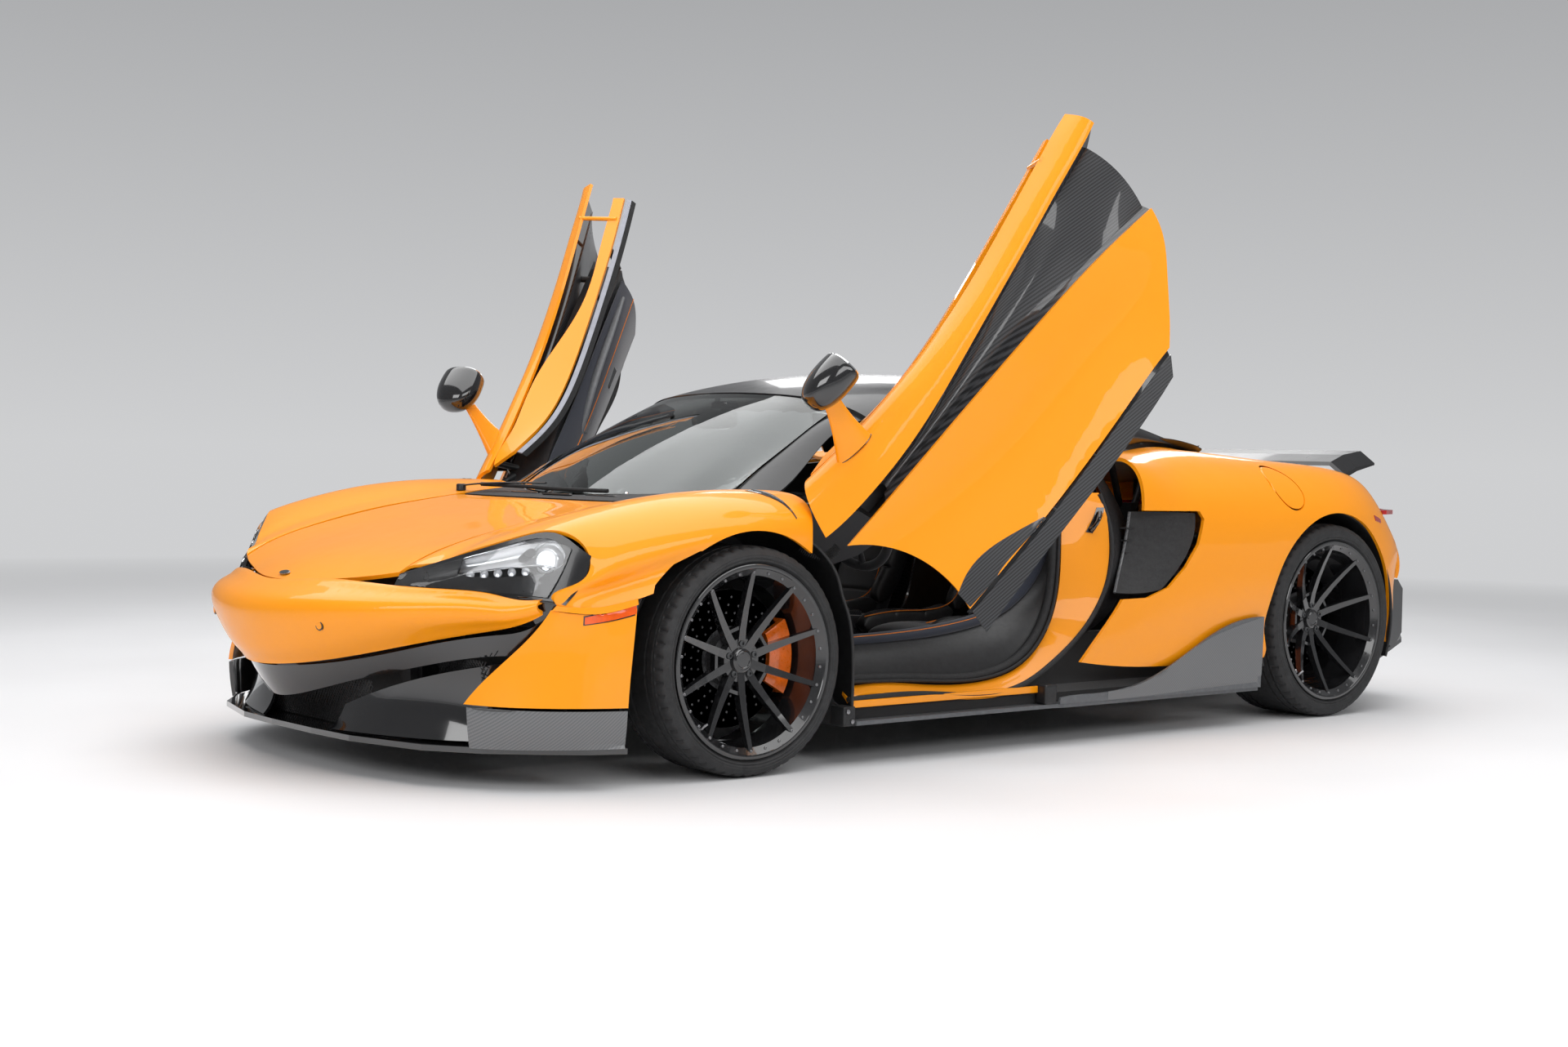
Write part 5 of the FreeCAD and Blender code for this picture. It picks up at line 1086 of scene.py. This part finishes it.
turned("wheel_boss", [(0.01, 26), (40, 24), (54, 16), (58, 4), (58, -10), (0.01, -10)], WHEEL_CENTRE,
    WHEEL_AXIS, LEATHER, count=48, **STEERED)
turned("wheel_boss_ring", [(20, 27.4), (24, 27.4), (24, 24), (20, 24), (20, 27.4)], WHEEL_CENTRE, WHEEL_AXIS,
    TRIM_GREY, count=40, **STEERED)
for side in (-1, 1):
    slab("wheel_spoke_%d" % (side + 1), [(52, -17), (160, -11), (160, 11), (52, 17)],
        WHEEL_CENTRE + WHEEL_AXIS * 4, (0, side, 0), (0.34, 0, 0.94), WHEEL_AXIS, 10, TRIM_GREY, bevel=3,
        **STEERED)
    slab("wheel_paddle_%d" % (side + 1), [(60, -12), (140, -30), (150, 30), (60, 14)],
        WHEEL_CENTRE - WHEEL_AXIS * 34, (0, side, 0), (0.34, 0, 0.94), WHEEL_AXIS, 5, CARBON, bevel=1.5,
        **STEERED)
first = np.array([0.0, 1.0, 0.0])
second = np.cross(WHEEL_AXIS, first)
for angle in (0, 90, 180, 270):
    arc = [WHEEL_CENTRE + (first * math.cos(t) + second * math.sin(t)) * 172
        for t in np.radians(np.linspace(angle + 8, angle + 82, 24))]
    verts, faces = swept(arc, ring_section(16.4, 14))
    make("wheel_grip_%d" % angle, verts, faces, SUEDE, **STEERED)
loft("cabin_mirror", [oval((770, 0, 1018), (0, 96, 0), (0, 0, 26), 40, 0.6), oval((762, 0, 1018),
    (0, 110, 0), (0, 0, 34), 40, 0.6), oval((744, 0, 1018), (0, 112, 0), (0, 0, 35), 40, 0.6),
    oval((738, 0, 1018), (0, 106, 0), (0, 0, 31), 40, 0.6)], BLACK, sides=1)
tube("cabin_mirror_stem", [(748, 0, 1040), (742, 0, 1064), (738, 0, 1086)], 9, BLACK, sides=1, count=8,
    sides_n=12)
block("cabin_sensor_box", (742, 40, 1050), (800, 118, 1072), BLACK, sides=1, bevel=8)
block("gear_plate", (120, -46, 340), (330, 46, 372), CARBON, sides=1, bevel=8)
for k, x in enumerate((160, 215, 270)):
    button("gear_button_%d" % k, (x, 0, 368), Z, 15, 8, TRIM_GREY, sides=1)


# Tail

laid("rear_marker", [[(-1600, 921, 722), (-1630, 918, 716), (-1664, 912, 706)],
    [(-1606, 925, 702), (-1632, 920, 698), (-1660, 914, 692)]], "rear_quarters", INWARD, RED_LENS, lift=2.0,
    thickness=6, across=6, along=12)
laid("tail_mesh_back", [[(-2010, 470, 706), (-2034, 240, 712), (-2040, 0, 714)],
    [(-2070, 470, 560), (-2094, 240, 566), (-2102, 0, 566)]], "rear_fascia", X, SATIN, lift=1.0, thickness=4,
    across=10, along=24)
for k in range(15):
    y = 30 + 31 * k
    line = [(-2030, y, 704), (-2060, y + 6, 640), (-2090, y + 12, 572)]
    laid("tail_rib_%d" % k, [line, shifted(line, 0, 5, 0)],
         "rear_fascia", X, PLASTIC, lift=5.0, thickness=6, across=3, along=10)
for k, z in enumerate((586, 612, 638, 664, 690)):
    line = [(-2080, 0, z), (-2070, 240, z), (-2040, 470, z)]
    laid("tail_bar_%d" % k, [line, shifted(line, 0, 0, 5)],
         "rear_fascia", X, PLASTIC, lift=4.0, thickness=5, across=3, along=20)
slab("number_plate", rect(152, 78), (-2118, 0, 640), Y, (0.22, 0, 0.975), (-1, 0, 0.2), 6, TRIM_GREY,
     sides=1, bevel=3)
LAMP_LINE = [(-1990, 752, 585), (-1945, 745, 640), (-1905, 728, 700), (-1868, 705, 770)]
laid("tail_lamp_line", [LAMP_LINE, shifted(LAMP_LINE, 4, 10, 0)],
     "tail_lamps", (1, -0.5, 0), RED_LENS, lift=1.5, thickness=5, across=4, along=30)
for side in (-1, 1):
    turned("exhaust_rim_%d" % (side + 1), [(38, 4), (42, 6), (46, 4), (47, -2), (45, -26), (42, -26),
        (38, 4)], (-1786, side * 120, 872), (-36, 0, 312), STEEL, sides=1, count=48)
    turned("exhaust_collar_%d" % (side + 1), [(50, 2), (57, 4), (62, 1), (62, -6), (50, -6), (50, 2)],
        (-1779, side * 120, 852), (-36, 0, 312), PLASTIC, sides=1, count=48)
for k in range(7):
    line = [(-900 - 78 * k, y, 1000) for y in (-300, 0, 300)]
    laid("deck_louvre_%d" % k, [line, shifted(line, -34, 0, 0)], "engine_deck", DOWN, SATIN, lift=2.5,
        thickness=5, across=4, along=20, sides=1)
laid("rear_window", [[(-470, -330, 1130), (-470, 0, 1140), (-470, 330, 1130)],
    [(-640, -330, 1070), (-640, 0, 1076), (-640, 330, 1070)],
    [(-840, -330, 1010), (-840, 0, 1014), (-840, 330, 1010)]], "engine_deck", DOWN, SCREEN_OFF, lift=2.0,
    thickness=4, across=16, along=24, sides=1)
for strake in (-1, 1):
    block("diffuser_light_%d" % (strake + 1), (-2150, strake * 30 - 22, 318), (-2128, strake * 30 + 22, 334),
        RED_LENS, sides=1, bevel=3)
block("underbody", (-1760, -300, 150), (-640, 300, 156), SATIN, sides=1, bevel=1)
for k, x in enumerate(range(-1650, -700, 190)):
    block("underbody_rib_%d" % k, (x, -290, 146), (x + 12, 290, 151), PLASTIC, sides=1, bevel=1)
for z in (240, 300):
    tube("engine_pipe_%d" % z, [(-1240, 120, z + 260), (-1400, 150, z + 240), (-1560, 140, z + 250),
        (-1700, 130, z + 270)], 32, STEEL, count=30, sides_n=16)


# Stage, light and camera

def flat_mesh(name, corners, material):
    mesh = bpy.data.meshes.new(name)
    mesh.from_pydata(corners, [], [tuple(range(len(corners)))])
    mesh.materials.append(material)
    obj = bpy.data.objects.new(name, mesh)
    bpy.context.scene.collection.objects.link(obj)


HORIZON = (0.62, 0.625, 0.635)
FADE_START = 4.5
FADE_END = 11.0


def floor_material():
    """Pale floor that fades into the backdrop far from the car."""
    m = Mat("floor_pale", (0.80, 0.80, 0.81), rough=0.5)
    m.mottled(0.6, 0.015, None, 0, 0.05)
    length = m.node("ShaderNodeVectorMath", operation="LENGTH")
    m.link(m.coords(), length.inputs[0])
    glow = m.node("ShaderNodeEmission")
    glow.inputs["Color"].default_value = (*HORIZON, 1)
    blend = m.node("ShaderNodeMixShader")
    far = m.spread(length.outputs["Value"], FADE_START, FADE_END, 0, 1)
    m.link(far, blend.inputs["Fac"])
    m.link(m.bsdf.outputs["BSDF"], blend.inputs[1])
    m.link(glow.outputs["Emission"], blend.inputs[2])
    m.link(blend.outputs["Shader"], m.tree.nodes["Material Output"].inputs["Surface"])
    return m.mat


flat_mesh("floor", [(-30, -30, 0), (30, -30, 0), (30, 30, 0), (-30, 30, 0)], floor_material())

world = bpy.data.worlds.new("studio")
bpy.context.scene.world = world
world.use_nodes = True
tree = world.node_tree
background = tree.nodes["Background"]
path = tree.nodes.new("ShaderNodeLightPath")
mix = tree.nodes.new("ShaderNodeMix")
mix.data_type = "RGBA"
mix.inputs["A"].default_value = (0.24, 0.243, 0.25, 1)
coords = tree.nodes.new("ShaderNodeTexCoord")
height = tree.nodes.new("ShaderNodeSeparateXYZ")
tree.links.new(coords.outputs["Generated"], height.inputs["Vector"])
ramp = tree.nodes.new("ShaderNodeMix")
ramp.data_type = "RGBA"
ramp.inputs["A"].default_value = (*HORIZON, 1)
ramp.inputs["B"].default_value = (0.30, 0.305, 0.315, 1)
rise = tree.nodes.new("ShaderNodeMapRange")
rise.inputs["From Max"].default_value = 0.30
tree.links.new(height.outputs["Z"], rise.inputs["Value"])
tree.links.new(rise.outputs["Result"], ramp.inputs["Factor"])
tree.links.new(ramp.outputs["Result"], mix.inputs["B"])
tree.links.new(path.outputs["Is Camera Ray"], mix.inputs["Factor"])
tree.links.new(mix.outputs["Result"], background.inputs["Color"])
background.inputs["Strength"].default_value = 1.0


def area(name, place, target, size, power, color=(1, 1, 1)):
    lamp = bpy.data.lights.new(name, "AREA")
    lamp.shape = "RECTANGLE"
    lamp.size, lamp.size_y = size
    lamp.energy = power
    lamp.color = color
    obj = bpy.data.objects.new(name, lamp)
    obj.location = place
    obj.rotation_mode = "QUATERNION"
    obj.rotation_quaternion = (Vector(target) - Vector(place)).to_track_quat("-Z", "Y")
    bpy.context.scene.collection.objects.link(obj)


area("ceiling", (0.3, 0.0, 5.6), (0.0, 0, 0), (11.0, 8.0), 620)
area("front_fill", (6.5, 2.5, 3.0), (0.5, 0, 0.6), (4.0, 2.0), 110)
area("side_fill", (0.5, 7.0, 3.2), (0, 0, 0.5), (7.0, 1.6), 120)
area("back_rim", (-5.5, -4.5, 3.4), (0, 0, 0.6), (4.0, 1.6), 90)

CAM_PLACE = Vector((ORIGIN_X / 1000 + 5.13245, 5.59275, 0.91200))
CAM_AXIS = Vector((-0.642006, -0.765999, -0.032764))
CAM_RIGHT = Vector((-0.766666, 0.641794, 0.018016))
CAM_UP = Vector((-0.007227, -0.036686, 0.999301))
cam_data = bpy.data.cameras.new("camera")
cam_data.sensor_width = 36.0
cam_data.lens = 49.42
cam = bpy.data.objects.new("camera", cam_data)
bpy.context.scene.collection.objects.link(cam)
cam.matrix_world = Matrix.Translation(CAM_PLACE) @ Matrix((CAM_RIGHT, CAM_UP,
    -CAM_AXIS)).transposed().to_4x4()
bpy.context.scene.camera = cam
bpy.context.scene.view_settings.view_transform = "Standard"
